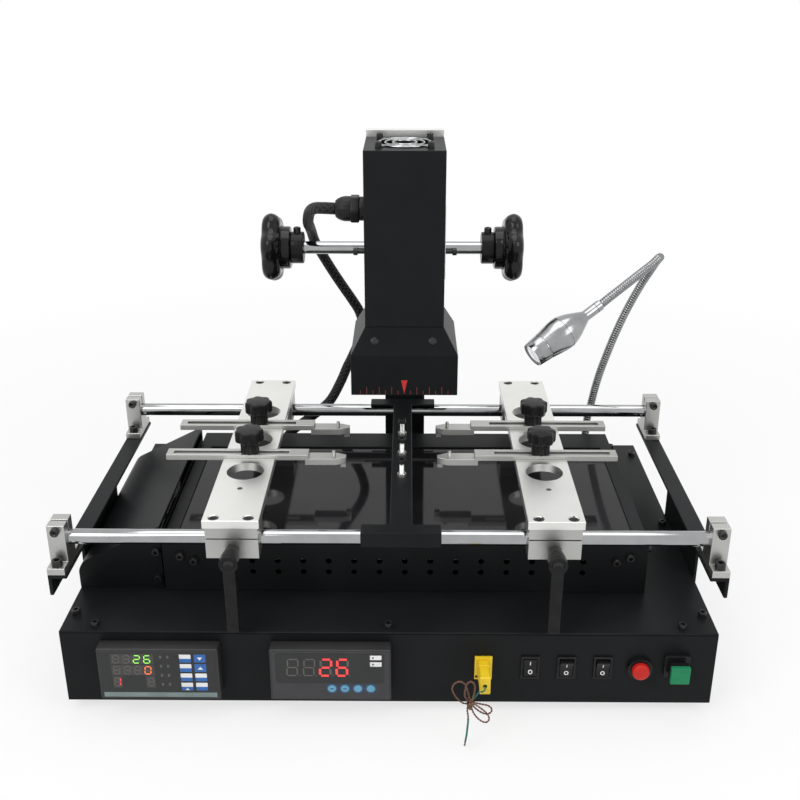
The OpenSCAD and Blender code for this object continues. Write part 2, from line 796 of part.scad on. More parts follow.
module blower_cover() color("#1b1d1f") put(-half_w, cover_front, 0) difference() {
    slope_t = sheet_t / cos(atan2(ridge_h - cover_low_h, blower_cover_w));
    cover_solid(blower_cover_w, cover_low_h, ridge_h, cover_d);
    translate([sheet_t, sheet_t, -cut])
        cover_solid(blower_cover_w - 2 * sheet_t, cover_low_h - slope_t + cut, ridge_h - slope_t + cut,
            cover_d - 2 * sheet_t);
    translate([blower_cover_w - 2 * sheet_t, 2 * sheet_t, ridge_h - 2 * sheet_t - outlet_h])
        cube([4 * sheet_t, cover_d - 4 * sheet_t, outlet_h]);
    for (h = cover_screws)
        translate([blower_cover_w - cover_screw_edge, -cut, h])
            along_y(sheet_t + 2 * cut, small_shank_d + 2 * snug_fit);
}

module blower_mount() color("#b9bbbb")
    for (y = [blower_front, blower_rear])
        put(blower_x, y, 0) difference() {
            union() {
                translate([-blower_plate_w / 2, 0, 0])
                    cube([blower_plate_w, blower_plate_t, blower_plate_top]);
                if (y == blower_rear)
                    translate([0, blower_plate_t, blower_axis_h]) along_y(motor_l, motor_d);
            }
            translate([0, -cut, blower_axis_h])
                along_y(blower_plate_t + 2 * cut, blower_shaft_d + 2 * running_fit);
            translate([0, 0, blower_axis_h])
                along_y(blower_plate_t + shaft_in_motor, blower_shaft_d + 2 * running_fit);
        }

module blower_rotor() color("#8f9192") {
    drum_front = blower_front + blower_plate_t + drum_gap;
    drum_l = blower_rear - drum_gap - drum_front;
    put(blower_x, blower_front, blower_axis_h)
        along_y(blower_rear + blower_plate_t - blower_front, blower_shaft_d);
    for (y = [drum_front, drum_front + (drum_l - disc_t) / 2, drum_front + drum_l - disc_t])
        put(blower_x, y, blower_axis_h) along_y(disc_t, blower_d);
    for (i = [0:blower_blades - 1])
        put(blower_x, drum_front, blower_axis_h) rotate([-90, 0, 0]) rotate(i * 360 / blower_blades)
            translate([blower_d / 2 - vane_inset, -vane_t / 2, 0]) cube([vane_w, vane_t, drum_l]);
}

module side_frame() {
    l = frame_back - frame_front;
    translate([half_w + frame_t - frame_top_w, frame_front, frame_h - frame_t])
        cube([frame_top_w, l, frame_t]);
    translate([half_w, frame_front, frame_h - frame_lip_h]) cube([frame_t, l, frame_lip_h]);
    translate([half_w, tongue_front, -tongue_drop]) cube([frame_t, tongue_l, frame_h + tongue_drop]);
}

module side_frames() color("#1d1f21") difference() {
    for (s = [0, 1])
        put(0, 0, 0) mirror([s, 0, 0]) side_frame();
    for (x = [-support_x, support_x], y = [rod_front, rod_rear], s = [-1, 1])
        put(x, y + s * foot_screw_offset, frame_h - 2 * frame_t)
            cylinder(h = 3 * frame_t, d = support_shank_d + 2 * snug_fit);
}

module rod_support() difference() {
    union() {
        translate([-support_t / 2, -support_foot_l / 2, 0]) cube([support_t, support_foot_l, support_foot_h]);
        translate([-support_t / 2, -support_body_l / 2, 0])
            cube([support_t, support_body_l, support_axis_h + support_top]);
    }
    translate([0, 0, support_axis_h]) along_x(support_t + 2 * cut, rod_d + 2 * snug_fit);
    translate([-support_t, -support_slit / 2, support_axis_h])
        cube([2 * support_t, support_slit, 2 * support_top]);
    for (s = [-1, 1])
        translate([0, s * foot_screw_offset, -cut])
            cylinder(h = support_foot_h + 2 * cut, d = support_shank_d + 2 * snug_fit);
    translate([0, -support_body_l / 2 - cut, support_axis_h + support_top - clamp_hole_drop])
        along_y(support_body_l + 2 * cut, clamp_hole_d);
}

module rod_supports() color("#c4c5c4")
    for (x = [-support_x, support_x], y = [rod_front, rod_rear])
        put(x, y, frame_h) rod_support();

module guide_rods() color("#d5d7d8")
    for (y = [rod_front, rod_rear])
        put(0, y, rod_h) along_x(2 * (half_w + frame_t), rod_d);

module column() color("#222426") difference() {
    union() {
        put(head_x - column_w / 2, column_front, 0) cube([column_w, column_w, column_h]);
        put(head_x - column_flange_w / 2, column_front, 0)
            cube([column_flange_w, column_w, column_flange_t]);
    }
    put(head_x - column_w / 2 + column_wall, column_front + column_wall, -cut)
        cube([column_w - 2 * column_wall, column_w - 2 * column_wall, column_h - column_wall]);
}

// Straight teeth of the rack, as seen from the side, with the pitch line on the X axis
function rack_tooth(at) =
    let (half = tooth_pitch / 4 - tooth_play, lean = tan(pressure_angle))
    [[at - half - tooth_root * lean, tooth_root], [at - half + tooth_tip * lean, -tooth_tip],
     [at + half - tooth_tip * lean, -tooth_tip], [at + half + tooth_root * lean, tooth_root]];

module rack() color("#8f9192") {
    first = -floor(rack_below / tooth_pitch);
    last = floor(rack_above / tooth_pitch);
    teeth = [for (i = [first:last]) each rack_tooth((i + 0.5) * tooth_pitch)];
    low = (first - 0.5) * tooth_pitch;
    high = (last + 1.5) * tooth_pitch;
    back = tooth_root + rack_back_t;
    outline = concat([[low, back], [low, tooth_root]], teeth, [[high, tooth_root], [high, back]]);
    put(head_x - rack_w / 2, rack_pitch_d, shaft_h)
        rotate([0, -90, 0]) translate([0, 0, -rack_w]) linear_extrude(rack_w) polygon(outline);
}

// A cable gland along Z: seat ring, hexagon nut and narrowing mouth
module gland() difference() {
    nut_end = gland_seat_l + gland_nut_l;
    union() {
        cylinder(h = gland_seat_l, d = gland_hex - gland_seat_step);
        translate([0, 0, gland_seat_l]) cylinder(h = gland_nut_l, d = gland_hex * gland_corner, $fn = 6);
        translate([0, 0, nut_end])
            cylinder(h = gland_l - nut_end, d1 = gland_hex - gland_mouth_step,
                d2 = cable_d + gland_mouth_wall);
    }
    translate([0, 0, -cut]) cylinder(h = gland_l + 2 * cut, d = gland_bore);
}

// The cable bends down close above the lid, so its gland there is a low one
module base_gland() color("#1a1a1a") put(base_gland_x, base_gland_y, 0) difference() {
    union() {
        cylinder(h = gland_seat_l, d = gland_hex * gland_corner, $fn = 6);
        cylinder(h = low_gland_edge, d = gland_hex - gland_seat_step);
        translate([0, 0, low_gland_edge])
            cylinder(h = low_gland_h - low_gland_edge, d1 = gland_hex - gland_seat_step,
                d2 = cable_d + gland_mouth_wall);
    }
    translate([0, 0, -cut]) cylinder(h = low_gland_h + 2 * cut, d = gland_bore);
}

module temperature_controllers() color("#17181a")
    for (x = [left_controller_x, right_controller_x]) {
        put(x - bezel_w / 2, -bezel_proud, panel_h - bezel_h / 2) cube([bezel_w, bezel_proud, bezel_h]);
        put(x - bezel_w / 2 + body_margin, -cut, panel_h - bezel_h / 2 + body_margin)
            cube([bezel_w - 2 * body_margin, controller_body_l + cut, bezel_h - 2 * body_margin]);
    }

module rocker_bezel() {
    inner_w = rocker_w - 2 * rocker_margin;
    inner_h = rocker_h - 2 * rocker_margin;
    difference() {
        union() {
            translate([-rocker_w / 2, -rocker_frame_t, -rocker_h / 2])
                cube([rocker_w, rocker_frame_t, rocker_h]);
            translate([-inner_w / 2, -cut, -inner_h / 2]) cube([inner_w, rocker_body_l + cut, inner_h]);
        }
        translate([-rocker_opening_w / 2, -rocker_frame_t - cut, -rocker_opening_h / 2])
            cube([rocker_opening_w, rocker_depth + rocker_frame_t + cut, rocker_opening_h]);
        translate([0, rocker_pivot, 0]) along_x(rocker_pin_l + 2 * bare_fit, rocker_pin_d + 2 * running_fit);
    }
}

module push_guide() difference() {
    translate([0, -cut, 0]) along_y(button_body_l + cut, button_body_d);
    translate([0, -2 * cut, 0]) along_y(button_body_l + 4 * cut, button_stem_d + 2 * running_fit);
}

module switch_bezels() color("#151617") {
    for (x = rocker_xs)
        put(x, 0, panel_h) rocker_bezel();
    put(stop_x, 0, panel_h) difference() {
        union() {
            translate([0, -button_flange_t, 0]) along_y(button_flange_t, stop_flange_d);
            push_guide();
        }
        translate([0, -button_flange_t - cut, 0])
            along_y(button_flange_t + cut + stop_well, stop_d + 2 * bare_fit);
        translate([0, -button_flange_t, 0]) along_y(button_body_l, button_stem_d + 2 * running_fit);
    }
    put(start_x, 0, start_h) difference() {
        union() {
            translate([-start_flange_w / 2, -button_flange_t, -start_flange_w / 2])
                cube([start_flange_w, button_flange_t, start_flange_w]);
            push_guide();
        }
        translate([0, -button_flange_t - cut, 0])
            along_y(button_body_l, button_stem_d + 2 * running_fit);
    }
}

module thermocouple_socket() color("#e0bf1e") difference() {
    union() {
        put(socket_x - socket_w / 2, -socket_t, panel_h - socket_h / 2) cube([socket_w, socket_t, socket_h]);
        put(socket_x - socket_w / 2 + socket_lip, -cut, panel_h - socket_h / 2 + socket_lip)
            cube([socket_w - 2 * socket_lip, socket_body_l + cut, socket_h - 2 * socket_lip]);
    }
    for (s = [-1, 1])
        put(socket_x - blade_t / 2 - bare_fit, -socket_t - cut,
            panel_h + s * blade_offset - blade_w / 2 - bare_fit)
            cube([blade_t + 2 * bare_fit, blade_l + blade_end, blade_w + 2 * bare_fit]);
}

module thermocouple_plug() color("#e6c822") {
    put(socket_x - plug_w / 2, -socket_t - plug_l, panel_h - plug_h / 2) cube([plug_w, plug_l, plug_h]);
    for (s = [-1, 1])
        put(socket_x - blade_t / 2, -socket_t - cut, panel_h + s * blade_offset - blade_w / 2)
            cube([blade_t, blade_l + cut, blade_w]);
}

module mains_inlet() color("#161718") {
    difference() {
        union() {
            put(inlet_x - inlet_flange_w / 2, base_d, panel_h - inlet_flange_h / 2)
                cube([inlet_flange_w, inlet_flange_t, inlet_flange_h]);
            put(inlet_x - inlet_body_w / 2, base_d - inlet_body_l, panel_h - inlet_body_h / 2)
                cube([inlet_body_w, inlet_body_l + cut, inlet_body_h]);
        }
        put(inlet_x - inlet_cavity_w / 2, base_d + inlet_flange_t - inlet_cavity_l,
            panel_h - inlet_cavity_h / 2)
            cube([inlet_cavity_w, inlet_cavity_l + cut, inlet_cavity_h]);
    }
    for (pin = inlet_pins)
        put(inlet_x + pin.x - inlet_pin_w / 2, base_d + inlet_flange_t - inlet_cavity_l - cut,
            panel_h + pin.y - inlet_pin_h / 2)
            cube([inlet_pin_w, inlet_cavity_l - inlet_pin_short, inlet_pin_h]);
}

module solid_state_relays() color("#c9c6bd")
    for (x = relay_xs)
        put(x - relay_w / 2, relay_front, base_wall - base_h) difference() {
            cube([relay_w, relay_d, relay_h]);
            for (y = [-cut, relay_d - relay_notch_l + cut])
                translate([(relay_w - relay_notch_w) / 2, y, relay_h - relay_notch_h])
                    cube([relay_notch_w, relay_notch_l, relay_notch_h + cut]);
        }

module lamp_base() color("#c8cacb") put(lamp_x, lamp_y, 0) difference() {
    union() {
        cylinder(h = lamp_nut_h, d = lamp_nut_d, $fn = 6);
        cylinder(h = lamp_collar_l, d = neck_d + 2 * lamp_collar_wall);
    }
    translate([0, 0, lamp_floor]) cylinder(h = lamp_collar_l, d = neck_d + 2 * running_fit);
}

// The lower neck ends in a dome round the bend, and the upper neck starts just clear of it
module gooseneck_lower() color("#b4b8ba") {
    last = len(lower_neck) - 1;
    r = neck_d / 2;
    bend_dir = unit(lower_neck[last] - lower_neck[last - 1]);
    dome = [for (a = dome_steps) lower_neck[last] + r * sin(a) * bend_dir];
    dome_radii = [for (a = dome_steps) r * cos(a)];
    put(lamp_x, lamp_shift, 0) swept_tube(concat(lower_neck, dome), neck_d, neck_sides, [1, 0, 0],
        concat([for (p = lower_neck) r], dome_radii));
}

module gooseneck_upper() color("#b4b8ba") {
    start = upper_neck[0] + (neck_d / 2 + bare_fit) * unit(upper_neck[1] - upper_neck[0]);
    middle = [for (i = [1:len(upper_neck) - 1]) upper_neck[i]];
    finish = [neck_tip - straight_end * unit(lamp_axis), neck_tip];
    put(lamp_x, lamp_shift, 0) swept_tube(concat([start], middle, finish), neck_d, neck_sides, [0, 0, 1]);
}

module lamp_head() color("#c6c8c9") {
    lens_r = lens_d / 2 + snug_fit;
    lens_seat = ferrule_l + lamp_l - 2 * lens_t;
    flare = [for (p = bell_places) [lamp_d * p.x, ferrule_l + lamp_l * p.y]];
    mouth = [[rim_d / 2, ferrule_l + lamp_l], [lens_r, ferrule_l + lamp_l], [lens_r, lens_seat],
        [0, lens_seat]];
    bell = concat([[0, 0], [ferrule_d / 2, 0], [ferrule_d / 2, ferrule_l]], flare, mouth);
    put(lamp_x + neck_tip.x, lamp_shift + neck_tip.y, neck_tip.z) aim(lamp_axis)
        rotate_extrude() polygon(bell);
}

module lamp_lens() color("#f4f6f8") {
    put(lamp_x + neck_tip.x, lamp_shift + neck_tip.y, neck_tip.z) aim(lamp_axis)
        translate([0, 0, ferrule_l + lamp_l - 2 * lens_t]) cylinder(h = 2 * lens_t, d = lens_d);
}

module hook_plate(edge, inward) {
    translate([beam_x - hook_w / 2, min(edge, edge + inward * (rod_d + hook_back)), beam_bottom])
        cube([hook_w, rod_d + hook_back, beam_t]);
    translate([beam_x - hook_w / 2, min(edge, edge + inward * beam_t), beam_top - hook_drop])
        cube([hook_w, beam_t, hook_drop]);
}

module centre_beam() color("#1d1f21") put(0, 0, 0) difference() {
    union() {
        hook_plate(front_hook, 1);
        hook_plate(rear_hook, -1);
        translate([beam_x - beam_w / 2, front_hook, beam_bottom])
            cube([beam_w, rear_hook - front_hook, beam_t]);
        for (x = [beam_x - beam_w / 2, beam_x + beam_w / 2 - beam_t])
            translate([x, rod_front + rod_d / 2 + lip_gap, beam_bottom - beam_lip])
                cube([beam_t, rod_span - rod_d - 2 * lip_gap, beam_lip + cut]);
    }
    for (i = [-1:1])
        translate([beam_x, pin_middle + i * pin_pitch, beam_bottom - cut])
            cylinder(h = beam_t + 2 * cut, d = pin_d + 2 * snug_fit);
}

module support_pins() color("#2b2d2f")
    for (i = [-1:1])
        put(beam_x, pin_middle + i * pin_pitch, beam_top + pin_h - pin_head_h)
            cap_screw(pin_head_d, pin_head_h, pin_d, pin_h - pin_head_h + beam_t + pin_below);

module head_slider() color("#bfc1c1") difference() {
    union() {
        put(head_x - slider_w / 2, slider_front, slider_bottom)
            cube([slider_w, slider_back - slider_front, slider_h]);
        put(head_x - neck_w / 2, head_back, slider_bottom + (slider_h - neck_h) / 2)
            cube([neck_w, slider_front - head_back + cut, neck_h]);
        put(head_x - head_w / 2, head_back, head_bottom_h)
            cube([head_w, back_plate_t, head_h + back_plate_proud]);
    }
    put(head_x - column_w / 2 - bare_fit, column_front - bare_fit, slider_bottom - cut)
        cube([column_w + 2 * bare_fit, column_w + 2 * bare_fit, slider_h + 2 * cut]);
    put(head_x - rack_w / 2 - bare_fit, rack_pitch_d - tooth_tip - bare_fit, slider_bottom - cut)
        cube([rack_w + 2 * bare_fit, rack_back_t + tooth_root + tooth_tip, slider_h + 2 * cut]);
    put(head_x, shaft_front, shaft_h)
        along_x(rack_w + 2 * pinion_side_clear, 2 * (pitch_r + tooth_tip + pinion_clear));
    put(head_x, shaft_front, shaft_h) along_x(slider_w + 2 * cut, shaft_d + 2 * running_fit);
}

module head_housing() color("#1b1d1f") difference() {
    put(head_x - head_w / 2, head_front, head_bottom_h) cube([head_w, head_d, head_h]);
    put(head_x - head_w / 2 + sheet_t, head_front + sheet_t, head_bottom_h - cut)
        cube([head_w - 2 * sheet_t, head_d, head_h - sheet_t + cut]);
    put(head_x, head_middle, head_top_h - 2 * sheet_t) cylinder(h = 4 * sheet_t, d = fan_hole_d);
    put(head_x - head_w / 2, gland_y, gland_h) along_x(4 * sheet_t, gland_bore);
}

module hood_form(wall) hull() {
    put(head_x - hood_w / 2 + wall, head_middle - hood_w / 2 + wall, hood_bottom_h)
        cube([hood_w - 2 * wall, hood_w - 2 * wall, skirt_h]);
    put(head_x - head_w / 2 + wall, head_front + wall, hood_bottom_h)
        cube([head_w - 2 * wall, head_d - 2 * wall, skirt_h + slope_h]);
}

module hood() color("#1d2122") difference() {
    hood_form(0);
    hood_form(sheet_t);
    put(head_x - hood_w / 2 + sheet_t, head_middle - hood_w / 2 + sheet_t, hood_bottom_h - cut)
        cube([hood_w - 2 * sheet_t, hood_w - 2 * sheet_t, 2 * cut]);
}

module top_heater() color("#d8d2c4") put(head_x, head_middle, hood_bottom_h) {
    seat_w = hood_w - 2 * sheet_t - 2 * bare_fit;
    translate([-top_heater_w / 2, -top_heater_w / 2, heater_recess])
        cube([top_heater_w, top_heater_w, top_heater_t]);
    translate([0, 0, heater_recess]) cylinder(h = skirt_h - heater_recess - cut, d = heater_stem_d);
    translate([-seat_w / 2, -seat_w / 2, skirt_h - heater_plate_t]) cube([seat_w, seat_w, heater_plate_t]);
}

module wire_ring(d) rotate_extrude() translate([d / 2, 0]) circle(d = guard_wire, $fn = 16);

module head_fan() color("#17181a") put(head_x, head_middle, head_top_h) {
    difference() {
        translate([-fan_w / 2, -fan_w / 2, -sheet_t - fan_t]) cube([fan_w, fan_w, fan_t]);
        translate([0, 0, -sheet_t - fan_t - cut]) cylinder(h = fan_t + 2 * cut, d = fan_hole_d);
    }
    translate([0, 0, -sheet_t - fan_t]) difference() {
        union() {
            for (a = [45:120:285])
                rotate(a) translate([0, -fan_arm_w / 2, 0])
                    cube([fan_hole_d / 2 + fan_arm_lap, fan_arm_w, fan_arm_t]);
            cylinder(h = fan_seat_t, d = fan_hub_d);
            cylinder(h = fan_t - fan_seat_t, d = fan_pin_d);
        }
    }
    translate([0, 0, guard_wire / 2]) {
        for (d = concat(fan_hole_d - ring_edge, fan_hole_d * ring_places))
            wire_ring(d);
        for (a = [45:90:315])
            rotate(a) translate([fan_hole_d * spoke_place, 0, 0]) rotate([0, 90, 0])
                cylinder(h = fan_screw_pitch / sqrt(2) - fan_hole_d * spoke_place, d = guard_wire);
    }
    for (x = [-1, 1], y = [-1, 1])
        translate([x * fan_screw_pitch / 2, y * fan_screw_pitch / 2, 0])
            cylinder(h = fan_screw_h, d = fan_screw_d);
}

module fan_rotor() color("#202123")
    put(head_x, head_middle, head_top_h - sheet_t - fan_t + fan_seat_t + bare_fit)
    difference() {
        union() {
            cylinder(h = fan_rotor_h, d = fan_hub_d);
            for (i = [0:fan_blades - 1])
                rotate(i * 360 / fan_blades) translate([fan_hub_d / 2 - fan_vane_lap, 0, fan_rotor_h / 2])
                    rotate([fan_pitch_angle, 0, 0]) translate([0, -fan_vane_w / 2, -fan_vane_t / 2])
                        cube([(fan_hole_d - fan_hub_d) / 2 - fan_vane_clear, fan_vane_w, fan_vane_t]);
        }
        translate([0, 0, -cut]) cylinder(h = fan_rotor_h, d = fan_pin_d + 2 * running_fit);
    }

module head_gland() color("#1a1a1a")
    put(head_x - head_w / 2, gland_y, gland_h) rotate([0, -90, 0]) gland();

module head_cable() color("#232425")
    put(0, 0, 0) swept_tube(cable_route, cable_d, cable_sides, [0, 1, 0.1]);

// One involute tooth of the pinion, its flank angle falling off with the radius
function spread(r) = tan(acos(base_r / r)) * 180 / PI - acos(base_r / r);
function flank(r) = 90 / pinion_teeth - tooth_play / pitch_r * 180 / PI + spread(pitch_r) - spread(r);
function polar(r, a) = [r * cos(a), r * sin(a)];

module pinion() {
    tip_r = pitch_r + tooth_tip;
    steps = [for (i = [0:4]) base_r + (tip_r - base_r) * i / 4];
    tooth = concat([polar(base_r - tooth_root, -flank(base_r))], [for (r = steps) polar(r, -flank(r))],
        [for (i = [4:-1:0]) polar(steps[i], flank(steps[i]))], [polar(base_r - tooth_root, flank(base_r))]);
    cylinder(h = rack_w, r = pitch_r - tooth_root);
    for (i = [0:pinion_teeth - 1])
        rotate(i * 360 / pinion_teeth) linear_extrude(rack_w) polygon(tooth);
}

module lift_shaft() color("#d2d4d5") {
    put(0, shaft_front, shaft_h) along_x(wheel_span - 2 * (wheel_cap_t + shaft_end_clear), shaft_d);
    put(head_x - rack_w / 2, shaft_front, shaft_h) rotate([0, 90, 0]) rotate(90) pinion();
}

module handwheel() difference() {
    union() {
        translate([0, 0, collar_l + hub_l]) linear_extrude(wheel_t) difference() {
            circle(d = wheel_d);
            for (i = [0:wheel_lobes - 1])
                rotate(i * 360 / wheel_lobes) translate([lobe_cut_at, 0]) circle(r = lobe_cut_r);
        }
        translate([0, 0, collar_l]) cylinder(h = hub_l + cut, d = hub_d);
        cylinder(h = collar_l + cut, d = collar_d);
    }
    translate([0, 0, -cut])
        cylinder(h = collar_l + hub_l + wheel_t - wheel_cap_t + cut, d = shaft_d + 2 * snug_fit);
}

module handwheels() color("#121314")
    for (s = [0, 1])
        put(0, shaft_front, shaft_h) mirror([s, 0, 0])
            translate([wheel_span / 2 - wheel_t - hub_l - collar_l, 0, 0]) rotate([0, 90, 0]) handwheel();

module carriage_plate(x) color("#cfd0cd") put(x, 0, 0) difference() {
    translate([-carriage_w / 2, carriage_front, carriage_bottom]) cube([carriage_w, carriage_l, carriage_t]);
    for (i = [-1:1])
        translate([0, hole_middle + i * carriage_hole_pitch, carriage_bottom - cut])
            cylinder(h = carriage_t + 2 * cut, d = carriage_hole_d);
    for (y = finger_rows) {
        translate([-carriage_w, y - finger_w / 2 - bare_fit, finger_floor])
            cube([2 * carriage_w, finger_w + 2 * bare_fit, carriage_t]);
        translate([0, y, carriage_bottom - cut]) cylinder(h = carriage_t, d = stud_d + 2 * running_fit);
    }
    translate([0, finger_rows[0] - carriage_hole_pitch, carriage_bottom - cut])
        cylinder(h = carriage_t + 2 * cut, d = pilot_d);
    for (sx = [-1, 1], y = sink_rows)
        translate([sx * sink_x, y, carriage_top - sink_depth]) cylinder(h = carriage_t, d = sink_d);
}

module clamp_blocks(x) color("#c9cac7")
    for (y = [rod_front, rod_rear])
        put(x, y, 0) difference() {
            translate([-block_w / 2, -block_d / 2, block_bottom])
                cube([block_w, block_d + (y == rod_rear ? carriage_tail : 0),
                    carriage_bottom - block_bottom]);
            translate([0, 0, rod_h]) along_x(block_w + 2 * cut, rod_d + 2 * running_fit);
            translate([-block_w, -block_d, rod_h + rod_d / 2 - block_slit])
                cube([2 * block_w, block_d, block_slit]);
            if (y == rod_front)
                translate([0, -block_d / 2 - cut, lever_h])
                    along_y(stud_reach + stud_clear, lever_stud_d + 2 * running_fit);
        }

module lever(x) color("#161718") put(x, lever_seat, lever_h) {
    along_y(stud_reach, lever_stud_d);
    translate([0, -lever_hub_l - bare_fit, 0]) rotate([-90, 0, 0])
        cylinder(h = lever_hub_l, d1 = lever_hub_d, d2 = lever_hub_back_d);
    translate([0, -bare_fit - cut, 0]) along_y(2 * cut, lever_stud_d);
    translate([-lever_arm_w / 2, -lever_hub_l - bare_fit, -lever_l])
        cube([lever_arm_w, lever_arm_t, lever_l]);
}

// A finger along X with the origin under its knob; the jaw points to +X
module finger() {
    difference() {
        translate([-finger_tail, -finger_w / 2, 0]) cube([finger_l, finger_w, finger_t]);
        translate([slot_start, -slot_w / 2, -cut]) cube([slot_end - slot_start, slot_w, finger_t + 2 * cut]);
    }
    translate([0, 0, -jaw_t]) linear_extrude(jaw_t + jaw_overlap)
        polygon([[jaw_start, -finger_w / 2], [jaw_start + jaw_l * jaw_straight, -finger_w / 2],
            [jaw_start + jaw_l, -jaw_tip_w / 2], [jaw_start + jaw_l, jaw_tip_w / 2],
            [jaw_start + jaw_l * jaw_straight, finger_w / 2], [jaw_start, finger_w / 2]]);
    translate([jaw_start + jaw_l * jaw_pin_place, 0, 0]) cylinder(h = finger_t + jaw_pin_rise, d = jaw_pin_d);
    translate([jaw_start + jaw_l - jaw_tip_l, -jaw_tip_w / 2, -jaw_t - jaw_tip_drop])
        cube([jaw_tip_l, jaw_tip_w, jaw_tip_drop + cut]);
}

module place_finger(x, row, facing) color("#d4d5d2")
    put(x, finger_rows[row], finger_floor + finger_lift) mirror([facing < 0 ? 1 : 0, 0, 0]) finger();

module knob(x, row) color("#151617")
    put(x, finger_rows[row], finger_floor + finger_lift + finger_t + bare_fit) {
    translate([0, 0, knob_neck_h]) linear_extrude(knob_h - knob_neck_h) difference() {
        circle(d = knob_d);
        for (i = [0:knob_lobes - 1])
            rotate(i * 360 / knob_lobes) translate([knob_d / 2 + flute_out, 0]) circle(d = flute_d);
    }
    cylinder(h = knob_neck_h + cut, d = knob_neck_d);
    stud_l = finger_t + finger_lift + bare_fit + finger_floor - carriage_bottom - stud_end;
    translate([0, 0, -stud_l]) cylinder(h = stud_l + cut, d = stud_d);
}

module rocker(i) color("#191a1b") put(rocker_xs[i], rocker_pivot, panel_h) {
    half = rocker_opening_h / 2 - rocker_swing_clear;
    w = rocker_opening_w - 2 * bare_fit;
    rotate([rocker_rests[i] * rocker_tilt, 0, 0]) {
        translate([-w / 2, 0, 0]) rotate([90, 0, 90]) linear_extrude(w)
            polygon([[-rocker_pivot - rocker_tip, half], [-rocker_pivot - rocker_dip, 0],
                [-rocker_pivot - rocker_tip, -half], [rocker_heel, -half], [rocker_keel, -half / 2],
                [rocker_keel, half / 2], [rocker_heel, half]]);
        along_x(rocker_pin_l, rocker_pin_d);
    }
}

module stop_button() color("#b5201b") put(stop_x, 0, panel_h) {
    translate([0, -stop_reach, 0]) along_y(stop_reach - button_flange_t + stop_sink, stop_d);
    translate([0, -button_flange_t, 0]) along_y(button_flange_t + button_body_l - stem_end, button_stem_d);
}

module start_button() color("#1f7a4c") put(start_x, 0, start_h) {
    translate([-start_w / 2, -start_reach, -start_w / 2])
        cube([start_w, start_reach - button_flange_t - button_travel - cut, start_w]);
    translate([0, -button_flange_t - button_travel - start_lap, 0])
        along_y(button_flange_t + button_travel + start_lap + button_body_l - stem_end, button_stem_d);
}

module thermocouple_wire() color("#7a4a25")
    put(socket_x, 0, 0) swept_tube(wire_route, wire_d, wire_sides, [0.2, 1, 0.1]);

base_chassis();
top_plate();
rubber_feet();
cap_screws();
preheater_housing();
ceramic_glass();
heater_plates();
blower_cover();
blower_mount();
blower_rotor();
side_frames();
rod_supports();
guide_rods();
column();
rack();
base_gland();
temperature_controllers();
switch_bezels();
thermocouple_socket();
mains_inlet();
solid_state_relays();
lamp_base();
centre_beam();
support_pins();
head_slider();
head_housing();
hood();
top_heater();
head_fan();
fan_rotor();
head_gland();
head_cable();
lift_shaft();
handwheels();
carriage_plate(left_carriage_x);  // left_carriage
carriage_plate(right_carriage_x);  // right_carriage
clamp_blocks(left_carriage_x);  // left_clamp_blocks
clamp_blocks(right_carriage_x);  // right_clamp_blocks
lever(left_carriage_x);  // left_lever
lever(right_carriage_x);  // right_lever
place_finger(left_carriage_x, 0, 1);  // left_front_finger
place_finger(left_carriage_x, 1, 1);  // left_rear_finger
place_finger(right_carriage_x - right_finger_shift, 0, -1);  // right_front_finger
place_finger(right_carriage_x - right_finger_shift, 1, -1);  // right_rear_finger
knob(left_carriage_x, 0);  // left_front_knob
knob(left_carriage_x, 1);  // left_rear_knob
knob(right_carriage_x, 0);  // right_front_knob
knob(right_carriage_x, 1);  // right_rear_knob
rocker(0);  // light_rocker
rocker(1);  // fan_rocker
rocker(2);  // cooling_rocker
stop_button();
start_button();
thermocouple_plug();
thermocouple_wire();
gooseneck_lower();
gooseneck_upper();
lamp_head();
lamp_lens();
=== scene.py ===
import math
import bmesh
import bpy
from mathutils import Matrix, Vector
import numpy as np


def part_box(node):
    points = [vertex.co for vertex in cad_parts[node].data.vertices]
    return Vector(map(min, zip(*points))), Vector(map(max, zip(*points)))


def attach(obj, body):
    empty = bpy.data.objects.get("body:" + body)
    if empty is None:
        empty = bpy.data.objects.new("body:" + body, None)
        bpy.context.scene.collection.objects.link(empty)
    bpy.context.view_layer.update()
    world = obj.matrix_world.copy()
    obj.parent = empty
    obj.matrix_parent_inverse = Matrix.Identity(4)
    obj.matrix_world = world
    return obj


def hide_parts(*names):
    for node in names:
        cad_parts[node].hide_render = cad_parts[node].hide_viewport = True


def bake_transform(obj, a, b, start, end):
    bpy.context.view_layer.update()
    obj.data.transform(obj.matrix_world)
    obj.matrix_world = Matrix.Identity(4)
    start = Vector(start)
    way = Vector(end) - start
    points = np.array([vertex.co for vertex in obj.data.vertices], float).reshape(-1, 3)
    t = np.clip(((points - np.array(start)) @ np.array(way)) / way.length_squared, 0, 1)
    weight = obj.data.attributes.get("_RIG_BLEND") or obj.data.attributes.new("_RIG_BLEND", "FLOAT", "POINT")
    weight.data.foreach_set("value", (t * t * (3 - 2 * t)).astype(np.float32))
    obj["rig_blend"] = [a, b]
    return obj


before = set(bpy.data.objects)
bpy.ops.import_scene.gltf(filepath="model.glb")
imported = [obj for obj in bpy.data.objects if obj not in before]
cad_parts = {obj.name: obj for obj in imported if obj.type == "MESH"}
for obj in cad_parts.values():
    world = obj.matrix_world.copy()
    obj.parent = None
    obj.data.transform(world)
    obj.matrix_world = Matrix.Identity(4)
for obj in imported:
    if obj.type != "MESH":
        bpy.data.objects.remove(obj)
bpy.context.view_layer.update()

mm = 0.001
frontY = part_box("base_chassis")[0][1]  # front face of the base
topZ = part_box("top_plate")[1][2]       # top of the lid
scratch = bpy.data.meshes.new("scratch")


